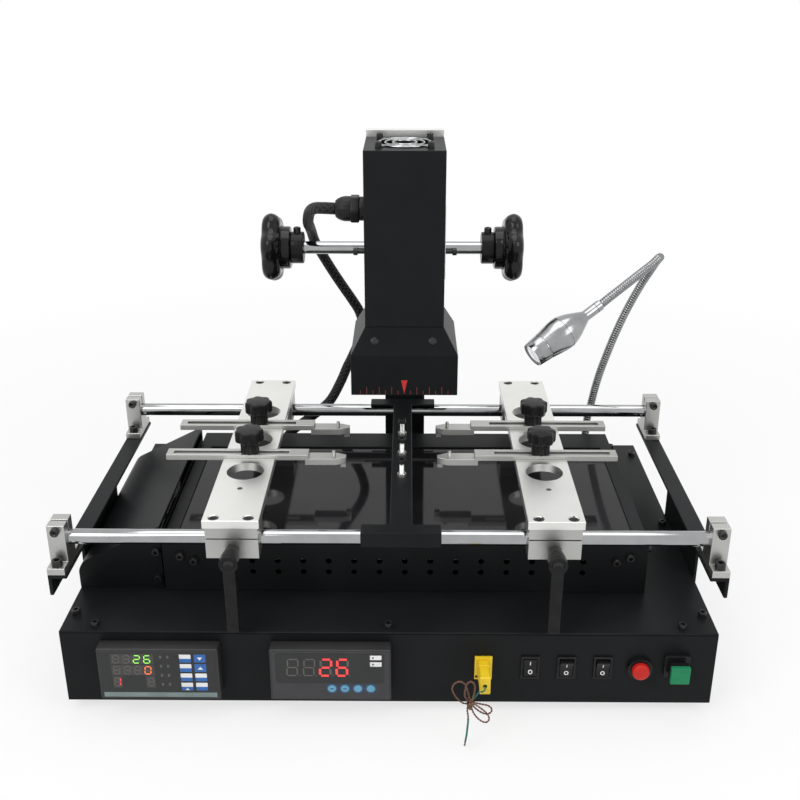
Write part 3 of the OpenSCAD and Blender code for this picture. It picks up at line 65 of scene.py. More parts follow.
# A place by X, distance behind the base's front and height above the lid, in millimetres
def at(x, behind, above):
    return Vector((x * mm, frontY + behind * mm, topZ + above * mm))


def turnTo(axis):
    return Vector(axis).to_track_quat("Z", "Y").to_matrix().to_4x4()


def pour(part, bm, mat=0, place=None):
    for face in part.faces:
        face.material_index = mat
    if place:
        part.transform(place)
    part.to_mesh(scratch)
    part.free()
    bm.from_mesh(scratch)


def finishPiece(name, bm, body, looks, replaced=(), sharp=50, flats=True):
    mesh = bpy.data.meshes.new(name)
    bm.to_mesh(mesh)
    bm.free()
    for look in looks:
        mesh.materials.append(look)
    mesh.polygons.foreach_set("use_smooth", [True] * len(mesh.polygons))
    mesh.set_sharp_from_angle(angle=math.radians(sharp))
    piece = bpy.data.objects.new(name, mesh)
    bpy.context.scene.collection.objects.link(piece)
    if flats:
        flat = piece.modifiers.new("flats", "WEIGHTED_NORMAL")
        flat.keep_sharp = True
    if replaced:
        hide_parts(*replaced)
    if body:
        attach(piece, body)
    return piece


def bevelAll(part, geom, round, steps=2, affect="EDGES"):
    bmesh.ops.bevel(part, geom=geom, offset=round * mm, offset_type="OFFSET", segments=steps, profile=0.5,
                    affect=affect, material=-1, clamp_overlap=True)


def newCube(low, high):
    part = bmesh.new()
    bmesh.ops.create_cube(part, size=1.0)
    bmesh.ops.scale(part, vec=high - low, verts=part.verts)
    bmesh.ops.translate(part, vec=(low + high) / 2, verts=part.verts)
    return part


# A block between two corners with rounded edges
def addBlock(bm, low, high, round=0.0, steps=2, mat=0):
    part = newCube(low, high)
    if round:
        bevelAll(part, part.edges[:], round, steps)
    pour(part, bm, mat)


def addRod(bm, start, end, radius, sides=32, round=0.0, mat=0):
    part = bmesh.new()
    bmesh.ops.create_cone(part, cap_ends=True, segments=sides, radius1=radius * mm, radius2=radius * mm,
                          depth=(end - start).length)
    if round:
        bevelAll(part, [e for e in part.edges if any(len(f.verts) > 4 for f in e.link_faces)], round)
    pour(part, bm, mat, Matrix.Translation((start + end) / 2) @ turnTo(end - start))


# A flat outline given a thickness towards the back
def addPrism(bm, corners, depth, mat):
    part = bmesh.new()
    face = part.faces.new([part.verts.new(corner) for corner in corners])
    grown = bmesh.ops.extrude_face_region(part, geom=[face])["geom"]
    bmesh.ops.translate(part, vec=(0, depth * mm, 0), verts=[g for g in grown if isinstance(g, bmesh.types.BMVert)])
    bmesh.ops.recalc_face_normals(part, faces=part.faces)
    pour(part, bm, mat)


# A profile of (radius, distance along the axis) turned once round
def addTurned(bm, profile, origin, axis, sides=48, mat=0):
    part = bmesh.new()
    verts = [part.verts.new((r * mm, 0, a * mm)) for r, a in profile]
    edges = [part.edges.new(pair) for pair in zip(verts, verts[1:])]
    bmesh.ops.spin(part, geom=verts + edges, cent=(0, 0, 0), axis=(0, 0, 1), angle=2 * math.pi, steps=sides,
                   use_merge=True)
    bmesh.ops.remove_doubles(part, verts=part.verts, dist=1e-6)
    bmesh.ops.recalc_face_normals(part, faces=part.faces)
    pour(part, bm, mat, Matrix.Translation(Vector(origin)) @ turnTo(axis))


def roundOutline(angle):
    return 1.0


def hexOutline(angle):
    return math.cos(math.pi / 6) / math.cos(angle % (math.pi / 3) - math.pi / 6)


def lobedOutline(count, depth, power, phase=0.0):
    return lambda angle: 1 - depth * ((1 + math.cos(count * (angle - phase))) / 2) ** power


def startRing(part, sides):
    part.verts.layers.float.new("walk")
    part.verts.layers.float.new("turn")
    turn = part.verts.layers.float["turn"]
    bmesh.ops.create_circle(part, cap_ends=False, segments=sides, radius=1.0)
    for vert in part.verts:
        vert[turn] = math.atan2(vert.co.y, vert.co.x)
    return part.verts[:], part.edges[:], turn


def dropRingData(part):
    for layer in ("walk", "turn"):
        part.verts.layers.float.remove(part.verts.layers.float[layer])


def nextRing(part, loop):
    made = bmesh.ops.extrude_edge_only(part, edges=loop)["geom"]
    verts = [g for g in made if isinstance(g, bmesh.types.BMVert)]
    fresh = set(verts)
    edges = [g for g in made if isinstance(g, bmesh.types.BMEdge) and fresh.issuperset(g.verts)]
    return verts, edges


# Rings of (radius, distance along the axis, outline) joined into a closed form
def addLofted(bm, rings, origin, axis, sides=24, mat=0, outline=roundOutline):
    part = bmesh.new()
    verts, loop, turn = startRing(part, sides)
    first = loop
    for i, ring in enumerate(rings):
        if i:
            verts, loop = nextRing(part, loop)
        shape = ring[2] if len(ring) > 2 else outline
        for vert in verts:
            angle = vert[turn]
            radius = ring[0] * shape(angle) * mm
            vert.co = (radius * math.cos(angle), radius * math.sin(angle), ring[1] * mm)
    bmesh.ops.contextual_create(part, geom=first)
    bmesh.ops.contextual_create(part, geom=loop)
    dropRingData(part)
    bmesh.ops.recalc_face_normals(part, faces=part.faces)
    pour(part, bm, mat, Matrix.Translation(Vector(origin)) @ turnTo(axis))


# Socket cap screw whose head stands on the seat
def addScrew(bm, seat, direction, headD=7.0, headH=4.0, mat=0):
    r = headD / 2
    rings = [(r, 0), (r, headH * 0.82), (r * 0.88, headH), (r * 0.55, headH, hexOutline),
             (r * 0.52, headH * 0.4, hexOutline)]
    addLofted(bm, rings, seat, direction, sides=24, mat=mat)


# Points at an even spacing on a smooth line through the route
def smoothRoute(route, spacing, steps=20):
    ends = [2 * route[0] - route[1]] + route + [2 * route[-1] - route[-2]]
    fine = []
    for a, b, c, d in zip(ends, ends[1:], ends[2:], ends[3:]):
        for k in range(steps):
            t = k / steps
            fine.append(0.5 * (2 * b + (c - a) * t + (2 * a - 5 * b + 4 * c - d) * t ** 2
                               + (3 * b - 3 * c + d - a) * t ** 3))
    fine.append(route[-1])
    total = sum((q - p).length for p, q in zip(fine, fine[1:]))
    count = max(2, round(total / (spacing * mm)))
    points, walked, goal = [fine[0]], 0.0, total / count
    for p, q in zip(fine, fine[1:]):
        step = (q - p).length
        while walked + step >= goal * len(points) - 1e-9 and len(points) < count:
            points.append(p.lerp(q, (goal * len(points) - walked) / step))
        walked += step
    points.append(fine[-1])
    return points


def routeFrames(points, side):
    frames = []
    normal = Vector(side)
    for i, point in enumerate(points):
        along = (points[min(i + 1, len(points) - 1)] - points[max(i - 1, 0)]).normalized()
        normal = (normal - along * normal.dot(along)).normalized()
        frames.append((point, normal, along.cross(normal)))
    return frames


# A tube along points; its UV map holds the turns round it and the millimetres along it
def addTube(bm, points, radii, sides=16, side=(0.0, 1.0, 0.1), mat=0, ends=True):
    part = bmesh.new()
    verts, loop, turn = startRing(part, sides)
    walk = part.verts.layers.float["walk"]
    first = loop
    walked = 0.0
    for i, (point, normal, other) in enumerate(routeFrames(points, side)):
        if i:
            verts, loop = nextRing(part, loop)
            walked += (point - points[i - 1]).length
        radius = radii[i % len(radii)] * mm
        for vert in verts:
            vert[walk] = walked / mm
            vert.co = point + radius * (math.cos(vert[turn]) * normal + math.sin(vert[turn]) * other)
    if ends:
        bmesh.ops.contextual_create(part, geom=first)
        bmesh.ops.contextual_create(part, geom=loop)
    bmesh.ops.recalc_face_normals(part, faces=part.faces)
    uv = part.loops.layers.uv.new("course")
    for face in part.faces:
        turns = [corner.vert[turn] / (2 * math.pi) for corner in face.loops]
        wraps = max(turns) - min(turns) > 0.5
        for corner, share in zip(face.loops, turns):
            corner[uv].uv = (share + 1 if wraps and share < 0 else share, corner.vert[walk])
    dropRingData(part)
    pour(part, bm, mat)


# A copy of the CAD node's form, merged
def mergedNode(node):
    part = bmesh.new()
    part.from_mesh(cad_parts[node].data)
    bmesh.ops.remove_doubles(part, verts=part.verts, dist=2e-6)
    bmesh.ops.dissolve_limit(part, angle_limit=math.radians(1), verts=part.verts, edges=part.edges)
    return part


def roundEdges(part, round, steps=2, shortest=2.5):
    sharp = [e for e in part.edges if len(e.link_faces) == 2 and e.calc_length() > shortest * mm
             and e.calc_face_angle() > math.radians(30)]
    bevelAll(part, sharp, round, steps)


# The CAD node's form with its long edges rounded
def addNode(bm, node, round, steps=2, shortest=2.5):
    part = mergedNode(node)
    roundEdges(part, round, steps, shortest)
    pour(part, bm)


# A piece of one finish that is a CAD node's form with its long edges rounded
def dressNode(name, node, body, look, round, steps=2, shortest=2.5):
    bm = bmesh.new()
    addNode(bm, node, round, steps, shortest)
    finishPiece(name, bm, body, [look], [node])


# A shader input takes a number or another node's output
def feed(tree, socket, value):
    if isinstance(value, bpy.types.NodeSocket):
        tree.links.new(value, socket)
    else:
        socket.default_value = value


def newNode(tree, kind, values=()):
    node = tree.nodes.new("ShaderNode" + kind)
    for socket, value in dict(values).items():
        feed(tree, node.inputs[socket], value)
    return node


def addMath(tree, operation, *values):
    node = newNode(tree, "Math")
    node.operation = operation
    for socket, value in zip(node.inputs, values):
        feed(tree, socket, value)
    return node.outputs["Value"]


# Procedural finishes on Object coordinates: patches of colour, fine grain in roughness and bump
def makeFinish(name, color, other=None, metallic=0.0, rough=(0.4, 0.5), patch=60, grain=900, bump=0.1,
               stretch=(1, 1, 1), specular=0.5, glow=(1, 1, 1), glowStrength=0.0):
    finish = bpy.data.materials.new(name)
    finish.use_nodes = True
    tree = finish.node_tree
    shader = tree.nodes["Principled BSDF"]
    coords = newNode(tree, "TexCoord").outputs["Object"]
    cloud = newNode(tree, "TexNoise", {"Vector": coords, "Scale": patch, "Detail": 4})
    tone = newNode(tree, "ValToRGB", {"Fac": cloud.outputs["Fac"]})
    low, high = tone.color_ramp.elements
    low.position, high.position = 0.35, 0.65
    low.color = (*color, 1)
    high.color = (*(other or [c * 1.18 for c in color]), 1)
    mapping = newNode(tree, "Mapping", {"Vector": coords, "Scale": stretch})
    fine = newNode(tree, "TexNoise", {"Vector": mapping.outputs["Vector"], "Scale": grain, "Detail": 3})
    gloss = newNode(tree, "MapRange", {"Value": fine.outputs["Fac"], "From Min": 0.3, "From Max": 0.7,
                                       "To Min": rough[0], "To Max": rough[1]})
    relief = newNode(tree, "Bump", {"Height": fine.outputs["Fac"], "Strength": bump, "Distance": 0.0004})
    for socket, value in {"Base Color": tone.outputs["Color"], "Roughness": gloss.outputs["Result"],
                          "Normal": relief.outputs["Normal"], "Metallic": metallic, "Specular IOR Level": specular,
                          "Emission Color": (*glow, 1), "Emission Strength": glowStrength}.items():
        feed(tree, shader.inputs[socket], value)
    return finish


# A pattern of two crossing spirals on the tube's own UV map
def addSpirals(finish, around, pitch, strength):
    tree = finish.node_tree
    course = newNode(tree, "UVMap")
    course.uv_map = "course"
    split = newNode(tree, "SeparateXYZ", {"Vector": course.outputs["UV"]})
    turns = addMath(tree, "MULTIPLY", split.outputs["X"], around * 2 * math.pi)
    waves = []
    for sense in (1, -1):
        angle = addMath(tree, "MULTIPLY_ADD", split.outputs["Y"], sense * 2 * math.pi / pitch, turns)
        waves.append(addMath(tree, "SINE", angle))
    relief = tree.nodes["Bump"]
    relief.inputs["Strength"].default_value = strength
    relief.inputs["Distance"].default_value = 0.0006
    tree.links.new(addMath(tree, "MAXIMUM", *waves), relief.inputs["Height"])


paintBlack = makeFinish("paintBlack", (0.0075, 0.0082, 0.009), (0.0095, 0.0102, 0.011), rough=(0.36, 0.46), patch=25,
                        grain=1500, bump=0.10, specular=0.10)
paintHood = makeFinish("paintHood", (0.007, 0.008, 0.0085), (0.009, 0.0105, 0.011), rough=(0.32, 0.42), patch=30,
                       grain=1300, bump=0.08, specular=0.06)
rubberAndHoleShade = makeFinish("rubberAndHoleShade", (0.012, 0.012, 0.012), rough=(0.75, 0.9), grain=700, bump=0.3)
blackOxide = makeFinish("blackOxide", (0.012, 0.012, 0.013), (0.022, 0.022, 0.024), metallic=0.4, rough=(0.3, 0.42),
                        patch=300, bump=0.05)
darkGlass = makeFinish("darkGlass", (0.012, 0.012, 0.0135), (0.016, 0.016, 0.018), rough=(0.04, 0.08), patch=12,
                       grain=40, bump=0.0, specular=0.17)
heaterCeramic = makeFinish("heaterCeramic", (0.45, 0.42, 0.37), (0.55, 0.52, 0.47), rough=(0.7, 0.85), grain=600,
                           bump=0.3)
satinAluminium = makeFinish("satinAluminium", (0.42, 0.42, 0.405), (0.49, 0.49, 0.475), metallic=1.0,
                            rough=(0.34, 0.44), patch=14, grain=1600, bump=0.06)
plateAluminium = makeFinish("plateAluminium", (0.74, 0.745, 0.715), (0.79, 0.795, 0.765), metallic=1.0,
                            rough=(0.30, 0.38), patch=18, grain=1200, bump=0.04)
groundChrome = makeFinish("groundChrome", (0.33, 0.335, 0.34), (0.39, 0.395, 0.40), metallic=1.0, rough=(0.04, 0.09),
                          patch=40, grain=500, bump=0.015, stretch=(4, 1, 1))
milledSteel = makeFinish("milledSteel", (0.32, 0.32, 0.33), (0.40, 0.40, 0.41), metallic=1.0, rough=(0.3, 0.45),
                         grain=800, bump=0.1)
glandNylon = makeFinish("glandNylon", (0.011, 0.011, 0.012), (0.016, 0.016, 0.017), rough=(0.34, 0.46), patch=120,
                        bump=0.06, specular=0.18)
braidSleeve = makeFinish("braidSleeve", (0.009, 0.009, 0.010), (0.020, 0.020, 0.022), rough=(0.45, 0.62), patch=900,
                         specular=0.22)
addSpirals(braidSleeve, around=6, pitch=5.2, strength=0.9)
panelPlastic = makeFinish("panelPlastic", (0.010, 0.010, 0.011), (0.014, 0.014, 0.015), rough=(0.45, 0.58), patch=80,
                          grain=1800, bump=0.10)
facePlastic = makeFinish("facePlastic", (0.022, 0.022, 0.026), (0.028, 0.028, 0.033), rough=(0.38, 0.5), patch=80,
                         grain=1400, bump=0.05)
windowPlastic = makeFinish("windowPlastic", (0.006, 0.007, 0.007), (0.009, 0.010, 0.010), rough=(0.12, 0.2), patch=60,
                           bump=0.0)
glossPlastic = makeFinish("glossPlastic", (0.008, 0.008, 0.009), (0.011, 0.011, 0.012), rough=(0.16, 0.26), patch=90,
                          bump=0.02, specular=0.2)
wheelPhenolic = makeFinish("wheelPhenolic", (0.006, 0.006, 0.0065), (0.009, 0.009, 0.0095), rough=(0.10, 0.18),
                           patch=60, grain=300, bump=0.02, specular=0.24)
knobPlastic = makeFinish("knobPlastic", (0.009, 0.009, 0.0095), (0.013, 0.013, 0.0135), rough=(0.18, 0.28), patch=90,
                         bump=0.03, specular=0.13)
yellowPlastic = makeFinish("yellowPlastic", (0.74, 0.50, 0.010), (0.80, 0.57, 0.016), rough=(0.34, 0.46), patch=90,
                           bump=0.05)
stopRed = makeFinish("stopRed", (0.47, 0.014, 0.009), (0.53, 0.018, 0.012), rough=(0.28, 0.38), patch=120, bump=0.03,
                     specular=0.25)
startGreen = makeFinish("startGreen", (0.012, 0.190, 0.080), (0.015, 0.215, 0.092), rough=(0.3, 0.42), patch=120,
                        bump=0.03, specular=0.2)
wireBrown = makeFinish("wireBrown", (0.105, 0.042, 0.022), (0.16, 0.07, 0.04), rough=(0.4, 0.55), patch=400)
wireGreen = makeFinish("wireGreen", (0.006, 0.11, 0.075), (0.01, 0.15, 0.10), rough=(0.35, 0.5), patch=400)
relayIvory = makeFinish("relayIvory", (0.56, 0.54, 0.47), rough=(0.45, 0.6), bump=0.05)
neckSteel = makeFinish("neckSteel", (0.20, 0.205, 0.21), (0.27, 0.275, 0.28), metallic=1.0, rough=(0.16, 0.26),
                       patch=300, bump=0.03)
lampAluminium = makeFinish("lampAluminium", (0.29, 0.295, 0.30), (0.36, 0.365, 0.37), metallic=1.0, rough=(0.14, 0.22),
                           patch=60, grain=900, bump=0.03)
lensGlow = makeFinish("lensGlow", (0.86, 0.88, 0.90), (0.92, 0.94, 0.96), rough=(0.08, 0.14), patch=200, bump=0.02,
                      glow=(0.95, 0.98, 1.0), glowStrength=0.35)
markWhite = makeFinish("markWhite", (0.72, 0.72, 0.72), (0.78, 0.78, 0.78), rough=(0.5, 0.6), bump=0.02)
scaleRed = makeFinish("scaleRed", (0.42, 0.010, 0.008), (0.52, 0.014, 0.012), rough=(0.45, 0.55), bump=0.02)
tickRed = makeFinish("tickRed", (0.13, 0.010, 0.009), (0.18, 0.014, 0.012), rough=(0.45, 0.55), bump=0.02)
keyBlue = makeFinish("keyBlue", (0.012, 0.105, 0.36), (0.016, 0.125, 0.42), rough=(0.35, 0.45), bump=0.03)
keyRing = makeFinish("keyRing", (0.016, 0.07, 0.16), (0.02, 0.085, 0.19), rough=(0.35, 0.45), bump=0.03)
keyPale = makeFinish("keyPale", (0.10, 0.30, 0.45), (0.13, 0.34, 0.50), rough=(0.35, 0.45), bump=0.03)
stripGrey = makeFinish("stripGrey", (0.14, 0.19, 0.185), (0.18, 0.24, 0.235), rough=(0.3, 0.45), bump=0.03,
                       grain=500, stretch=(0.05, 1, 1))
segmentOff = makeFinish("segmentOff", (0.075, 0.072, 0.066), (0.09, 0.086, 0.08), rough=(0.3, 0.4), bump=0.02)
windowGrey = makeFinish("windowGrey", (0.035, 0.033, 0.032), (0.042, 0.040, 0.039), rough=(0.15, 0.25), bump=0.0)
segmentGreen = makeFinish("segmentGreen", (0.10, 0.45, 0.06), (0.14, 0.5, 0.08), rough=(0.3, 0.4), bump=0.02,
                          glow=(0.42, 1.0, 0.12), glowStrength=0.75)
segmentOrange = makeFinish("segmentOrange", (0.6, 0.08, 0.02), (0.65, 0.11, 0.03), rough=(0.3, 0.4), bump=0.02,
                           glow=(1.0, 0.22, 0.04), glowStrength=0.75)
segmentRed = makeFinish("segmentRed", (0.5, 0.02, 0.02), (0.55, 0.03, 0.03), rough=(0.3, 0.4), bump=0.02,
                        glow=(1.0, 0.05, 0.05), glowStrength=0.75)
print("finishes made")

# Camera at the photograph's angle
cameraSet = {"place": (0.01494, -0.8630, 0.57335), "tilt": 66.934, "turn": 0.453, "lens": 47.592, "sensor": 36.0}
camera = bpy.data.objects.new("camera", bpy.data.cameras.new("camera"))
bpy.context.scene.collection.objects.link(camera)
camera.location = cameraSet["place"]
camera.rotation_euler = (math.radians(cameraSet["tilt"]), 0, math.radians(cameraSet["turn"]))
camera.data.lens = cameraSet["lens"]
camera.data.sensor_width = cameraSet["sensor"]
camera.data.clip_start = 0.01
bpy.context.scene.camera = camera

# Head cable: braided sleeve from the head's gland, behind the shaft, to the gland in the lid
cableSet = {"diameter": 10.0, "spacing": 4.0, "sides": 24, "lowBend": (-73.7, 312, 57.6), "highBend": (-69.5, 327, 216)}
cableRoute = [at(*p) for p in (
    (-46, 180, 297), (-56, 182, 297), (-65, 194, 294), (-71, 214, 286), (-75, 240, 273), (-77, 264, 263),
    (-78.5, 290, 255), (-78.5, 308, 245), (-76.5, 320, 232), (-69.5, 327, 216), (-59.6, 332, 197),
    (-50.5, 334.5, 181.6), (-41.6, 335, 167.7), (-34.5, 336, 154.6), (-31.9, 336, 140.5), (-35.7, 335, 123.4),
    (-43.1, 333, 106.4), (-48.4, 331, 96), (-54.2, 327, 83), (-64, 318, 66.3), (-73.7, 312, 57.6),
    (-86.5, 307, 48.9), (-101.1, 303.5, 39), (-107.5, 303.2, 33), (-111.8, 303, 25.4), (-113.4, 303, 15.8),
    (-113.5, 303, 9), (-113.5, 303, 2))]
cablePath = smoothRoute(cableRoute, cableSet["spacing"])
bm = bmesh.new()
addTube(bm, cablePath, [cableSet["diameter"] / 2], sides=cableSet["sides"])
headCable = finishPiece("headCable", bm, None, [braidSleeve], ["head_cable"], flats=False)
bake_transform(headCable, "base", "head", start=at(*cableSet["lowBend"]), end=at(*cableSet["highBend"]))

# Thermocouple wire: two strands twisted round each other, tied in a bow of four loops
wireSet = {"strand": 0.78, "twist": 5.0, "spacing": 0.6, "sides": 8, "greenLead": 24, "sleeve": (27, 4),
           "sleeveR": 0.79}
wireRoute = [at(*p) for p in (
    (76, -25, -32), (75.8, -28, -32.2), (74.2, -30, -33), (70.6, -30.3, -33.7), (67.6, -30.2, -38.6),
    (64.2, -30.2, -42.9), (59.6, -30.3, -44.3), (54.8, -30.5, -40.2), (51.3, -30.7, -34.5), (50, -31, -29),
    (52.1, -31.3, -24.2), (55.9, -31.6, -22.4), (59.6, -31.9, -24.6), (61.9, -32.2, -30.8), (63.7, -32.5, -38.2),
    (66.6, -32.8, -44.7), (71.2, -33.1, -49.2), (76.2, -33.4, -51.7), (79.9, -33.7, -50.4), (80.9, -34, -46.5),
    (77.9, -34.3, -43), (72.8, -34.6, -41.4), (67.4, -34.9, -39.8), (62.3, -35.2, -38), (59.7, -35.5, -33),
    (59.8, -35.9, -26), (61.2, -36.3, -20.6), (64.2, -36.6, -18.5), (66.8, -36.9, -21.4), (66.8, -37.2, -27.8),
    (65.2, -37.5, -35.6), (65.2, -37.8, -43), (68.1, -38.1, -49.6), (72.6, -38.4, -54.3), (76.7, -38.7, -55.4),
    (78.7, -39, -51.8), (77, -39.3, -46.8), (72.5, -39.6, -41.8), (67.8, -39.8, -37.8), (65.4, -40, -37),
    (63, -40.3, -37.6), (61.6, -40.6, -40), (61.6, -40.9, -43.2), (62.2, -41.1, -47.4), (62.4, -41.2, -52.4),
    (62, -41.3, -58.9), (61.4, -41.4, -66.6), (60.1, -41.5, -75.9))]
wirePath = smoothRoute(wireRoute, wireSet["spacing"])
bm = bmesh.new()
for strand, sense in enumerate((1, -1)):
    course = []
    walked = 0.0
    for i, (point, normal, other) in enumerate(routeFrames(wirePath, (0.2, 1.0, 0.1))):
        walked += (point - wirePath[max(i - 1, 0)]).length
        angle = walked / mm / wireSet["twist"] * 2 * math.pi
        course.append(point + sense * wireSet["strand"] / 2 * mm
                      * (math.cos(angle) * normal + math.sin(angle) * other))
    lead = round(wireSet["greenLead"] / wireSet["spacing"])
    addTube(bm, course[:lead + 1], [wireSet["strand"] / 2], sides=wireSet["sides"], mat=1)
    addTube(bm, course[lead:], [wireSet["strand"] / 2], sides=wireSet["sides"])
tail = [-round(span / wireSet["spacing"]) for span in wireSet["sleeve"]]
addTube(bm, wirePath[tail[0]:tail[1]], [wireSet["sleeveR"]], sides=12, mat=1)
thermoWire = finishPiece("thermocoupleWire", bm, "base", [wireBrown, wireGreen],
                         ["thermocouple_wire"], flats=False)

# Tie wound round the middle of the bow
tieSet = {"middle": (63.4, -35.4, -40.4), "reach": 6.2, "half": 1.7, "turns": 3, "steps": 16, "length": 2.4,
          "radius": 0.45}
bm = bmesh.new()
across, deep, along = Vector((1, 0, 1)).normalized(), Vector((0, 1, 0)), Vector((1, 0, -1)).normalized()
wrap = []
last = tieSet["turns"] * tieSet["steps"]
for k in range(last + 1):
    angle = 2 * math.pi * k / tieSet["steps"]
    shift = (tieSet["half"] * math.sin(angle) * across + tieSet["reach"] * math.cos(angle) * deep
             + tieSet["length"] * (k / last - 0.5) * along)
    wrap.append(at(*tieSet["middle"]) + shift * mm)
addTube(bm, wrap, [tieSet["radius"]], sides=8, side=along)
wireTie = finishPiece("wireTie", bm, "base", [wireBrown], flats=False)

# Yellow thermocouple plug with finger ridges, and a flush dark disc of painted shade where the hole that the wire
# enters is
plugSet = {"x": 76, "above": -32, "end": -25, "hole": 1.9,
           "blocks": ((4.3, 8, -9.5, -3, 0.8), (3.8, 7.4, -23, -9, 1.0), (4.3, 8, -25, -22.5, 0.9)),
           "ridges": 5, "ridgeX": 3.5, "ridgeHalf": (0.7, 5.5), "ridgeFirst": -12, "ridgePitch": 2.2, "ridgeDeep": 1}
bm = bmesh.new()
x, above = plugSet["x"], plugSet["above"]
for half, tall, front, back, edge in plugSet["blocks"]:
    addBlock(bm, at(x - half, front, above - tall), at(x + half, back, above + tall), round=edge, steps=3)
half, tall = plugSet["ridgeHalf"]
for middle in (x - plugSet["ridgeX"], x + plugSet["ridgeX"]):
    for ridge in range(plugSet["ridges"]):
        front = plugSet["ridgeFirst"] - plugSet["ridgePitch"] * ridge
        addBlock(bm, at(middle - half, front, above - tall),
                 at(middle + half, front + plugSet["ridgeDeep"], above + tall), round=0.3)
# The hole is not cut: a flush dark disc in the black rubber finish is painted shade for its inside
hole = plugSet["hole"]
addTurned(bm, [(0, -0.6), (hole, -0.6), (hole, -0.05), (hole - 0.3, 0), (0, 0)], at(x, plugSet["end"], above),
          (0, -1, 0), 24, 1)
thermoPlug = finishPiece("thermocouplePlug", bm, "base", [yellowPlastic, rubberAndHoleShade],
                         ["thermocouple_plug"])
print("camera and cords placed")

# Base box, lid and feet
feetSet = {"x": 225, "behind": (36, 310), "above": -77, "screwD": 8, "screwH": 0.3, "screwIn": 0.5,
           "profile": ((0, 0), (12, 0), (13, 1), (15, 9), (15, 10), (0, 10))}
dressNode("baseBox", "base_chassis", "base", paintBlack, round=1.0, steps=3)
dressNode("baseLid", "top_plate", "base", paintBlack, round=0.8, steps=3)
bm = bmesh.new()
for x in (-feetSet["x"], feetSet["x"]):
    for behind in feetSet["behind"]:
        addTurned(bm, feetSet["profile"], at(x, behind, feetSet["above"]), (0, 0, 1))
        addScrew(bm, at(x, behind, feetSet["above"] + feetSet["screwIn"]), (0, 0, -1), headD=feetSet["screwD"],
                 headH=feetSet["screwH"], mat=1)
finishPiece("baseFeet", bm, "base", [rubberAndHoleShade, blackOxide], ["rubber_feet"])

# Socket screws of the lid, the preheater's front, the cover and the rod supports
rodSet = {"behind": (23, 272), "above": 73, "reach": 264, "radius": 6, "supportX": 257, "footScrew": (15.5, 56),
          "pinchScrew": (-10, 83)}
screwSet = {"lid": ((-234, 8), (0, 8), (234, 8), (-234, 338), (-80, 338), (80, 338), (234, 338)),
            "lidSides": (25, 173, 321), "lidSideX": 254, "frontBehind": 58, "coverX": -194, "coverBehind": 63,
            "front": ((-173, 35), (-162, 30.5), (188, 30.5), (199, 35)), "cover": (10, 36), "side": (214, 67, 38)}
bm = bmesh.new()
for x, behind in screwSet["lid"]:
    addScrew(bm, at(x, behind, 0), (0, 0, 1))
for behind in screwSet["lidSides"]:
    for x in (-screwSet["lidSideX"], screwSet["lidSideX"]):
        addScrew(bm, at(x, behind, 0), (0, 0, 1))
for x, above in screwSet["front"]:
    addScrew(bm, at(x, screwSet["frontBehind"], above), (0, -1, 0))
for above in screwSet["cover"]:
    addScrew(bm, at(screwSet["coverX"], screwSet["coverBehind"], above), (0, -1, 0))
addScrew(bm, at(*screwSet["side"]), (1, 0, 0))
reach, above = rodSet["footScrew"]
for x in (-rodSet["supportX"], rodSet["supportX"]):
    for behind in rodSet["behind"]:
        for offset in (-reach, reach):
            addScrew(bm, at(x, behind + offset, above), (0, 0, 1), headD=8.5, headH=5)
finishPiece("capScrews", bm, "base", [blackOxide], ["cap_screws"])

# Preheater, frames, blower cover, supports and rods
dressNode("preheaterBox", "preheater_housing", "base", paintBlack, round=0.5)
dressNode("sideFrames", "side_frames", "base", paintBlack, round=0.6)
coverSet = {"edge": 0.6, "longEdge": (-261, 0, 23), "longRound": 9.0, "longest": 150, "near": 4,
            "bracket": ((-191.6, 130, 50), (-190.2, 150, 57.4))}
bm = bmesh.new()
part = mergedNode("blower_cover")
middle = at(*coverSet["longEdge"])
low = [e for e in part.edges if e.calc_length() > coverSet["longest"] * mm
       and all(math.hypot(v.co.x - middle.x, v.co.z - middle.z) < coverSet["near"] * mm for v in e.verts)]
bevelAll(part, low, coverSet["longRound"], 8)
roundEdges(part, coverSet["edge"])
pour(part, bm)
addBlock(bm, *[at(*corner) for corner in coverSet["bracket"]], round=0.2, mat=1)
finishPiece("blowerCover", bm, "base", [paintBlack, satinAluminium], ["blower_cover"])
bm = bmesh.new()
addNode(bm, "rod_supports", round=0.6)
offset, above = rodSet["pinchScrew"]
for x in (-rodSet["supportX"], rodSet["supportX"]):
    for behind in rodSet["behind"]:
        addScrew(bm, at(x, behind + offset, above), (0, -1, 0), mat=1)
finishPiece("rodSupports", bm, "base", [satinAluminium, blackOxide], ["rod_supports"])
bm = bmesh.new()
for behind in rodSet["behind"]:
    addRod(bm, at(-rodSet["reach"], behind, rodSet["above"]), at(rodSet["reach"], behind, rodSet["above"]),
           rodSet["radius"], sides=48, round=0.5)
finishPiece("guideRods", bm, "base", [groundChrome], ["guide_rods"])
print("base built")

# Board clamp: plates with counterbored screws, blocks, levers, fingers and star knobs
clampSet = {"left": -120.5, "right": 129.0, "plateTop": 95.5, "screwX": 13.5, "screwBehind": (13.5, 289.5), "sunk": 4}
leverSet = {"above": 68, "seat": 9.7, "arm": Vector((5, 4, 31)), "armPlace": (-7.3, 37), "taper": 0.75, "edge": 1.6,
            "screw": -9.8, "stud": (9.6, 15), "studR": 3,
            "hub": ((0, 19.6), (4.6, 19.6), (4.6, 20.8), (5, 21), (6.9, 21), (7.4, 20.5), (7.5, 19.8), (7.4, 12),
                    (5.5, 0.4), (5.2, 0), (0, 0))}
knobSet = {"rows": {"front": 122.75, "rear": 184.25}, "foot": 98.9, "stud": (-9.4, 1), "studR": 2.5,
           "star": ((5, 10.2), (11, 10.4), (12, 11), (12.5, 12.2), (12.5, 19.4), (12.1, 20.5), (11.2, 21), (0.5, 21)),
           "collar": ((7.8, 0), (8, 0.5), (8, 10.2), (6, 10.6))}
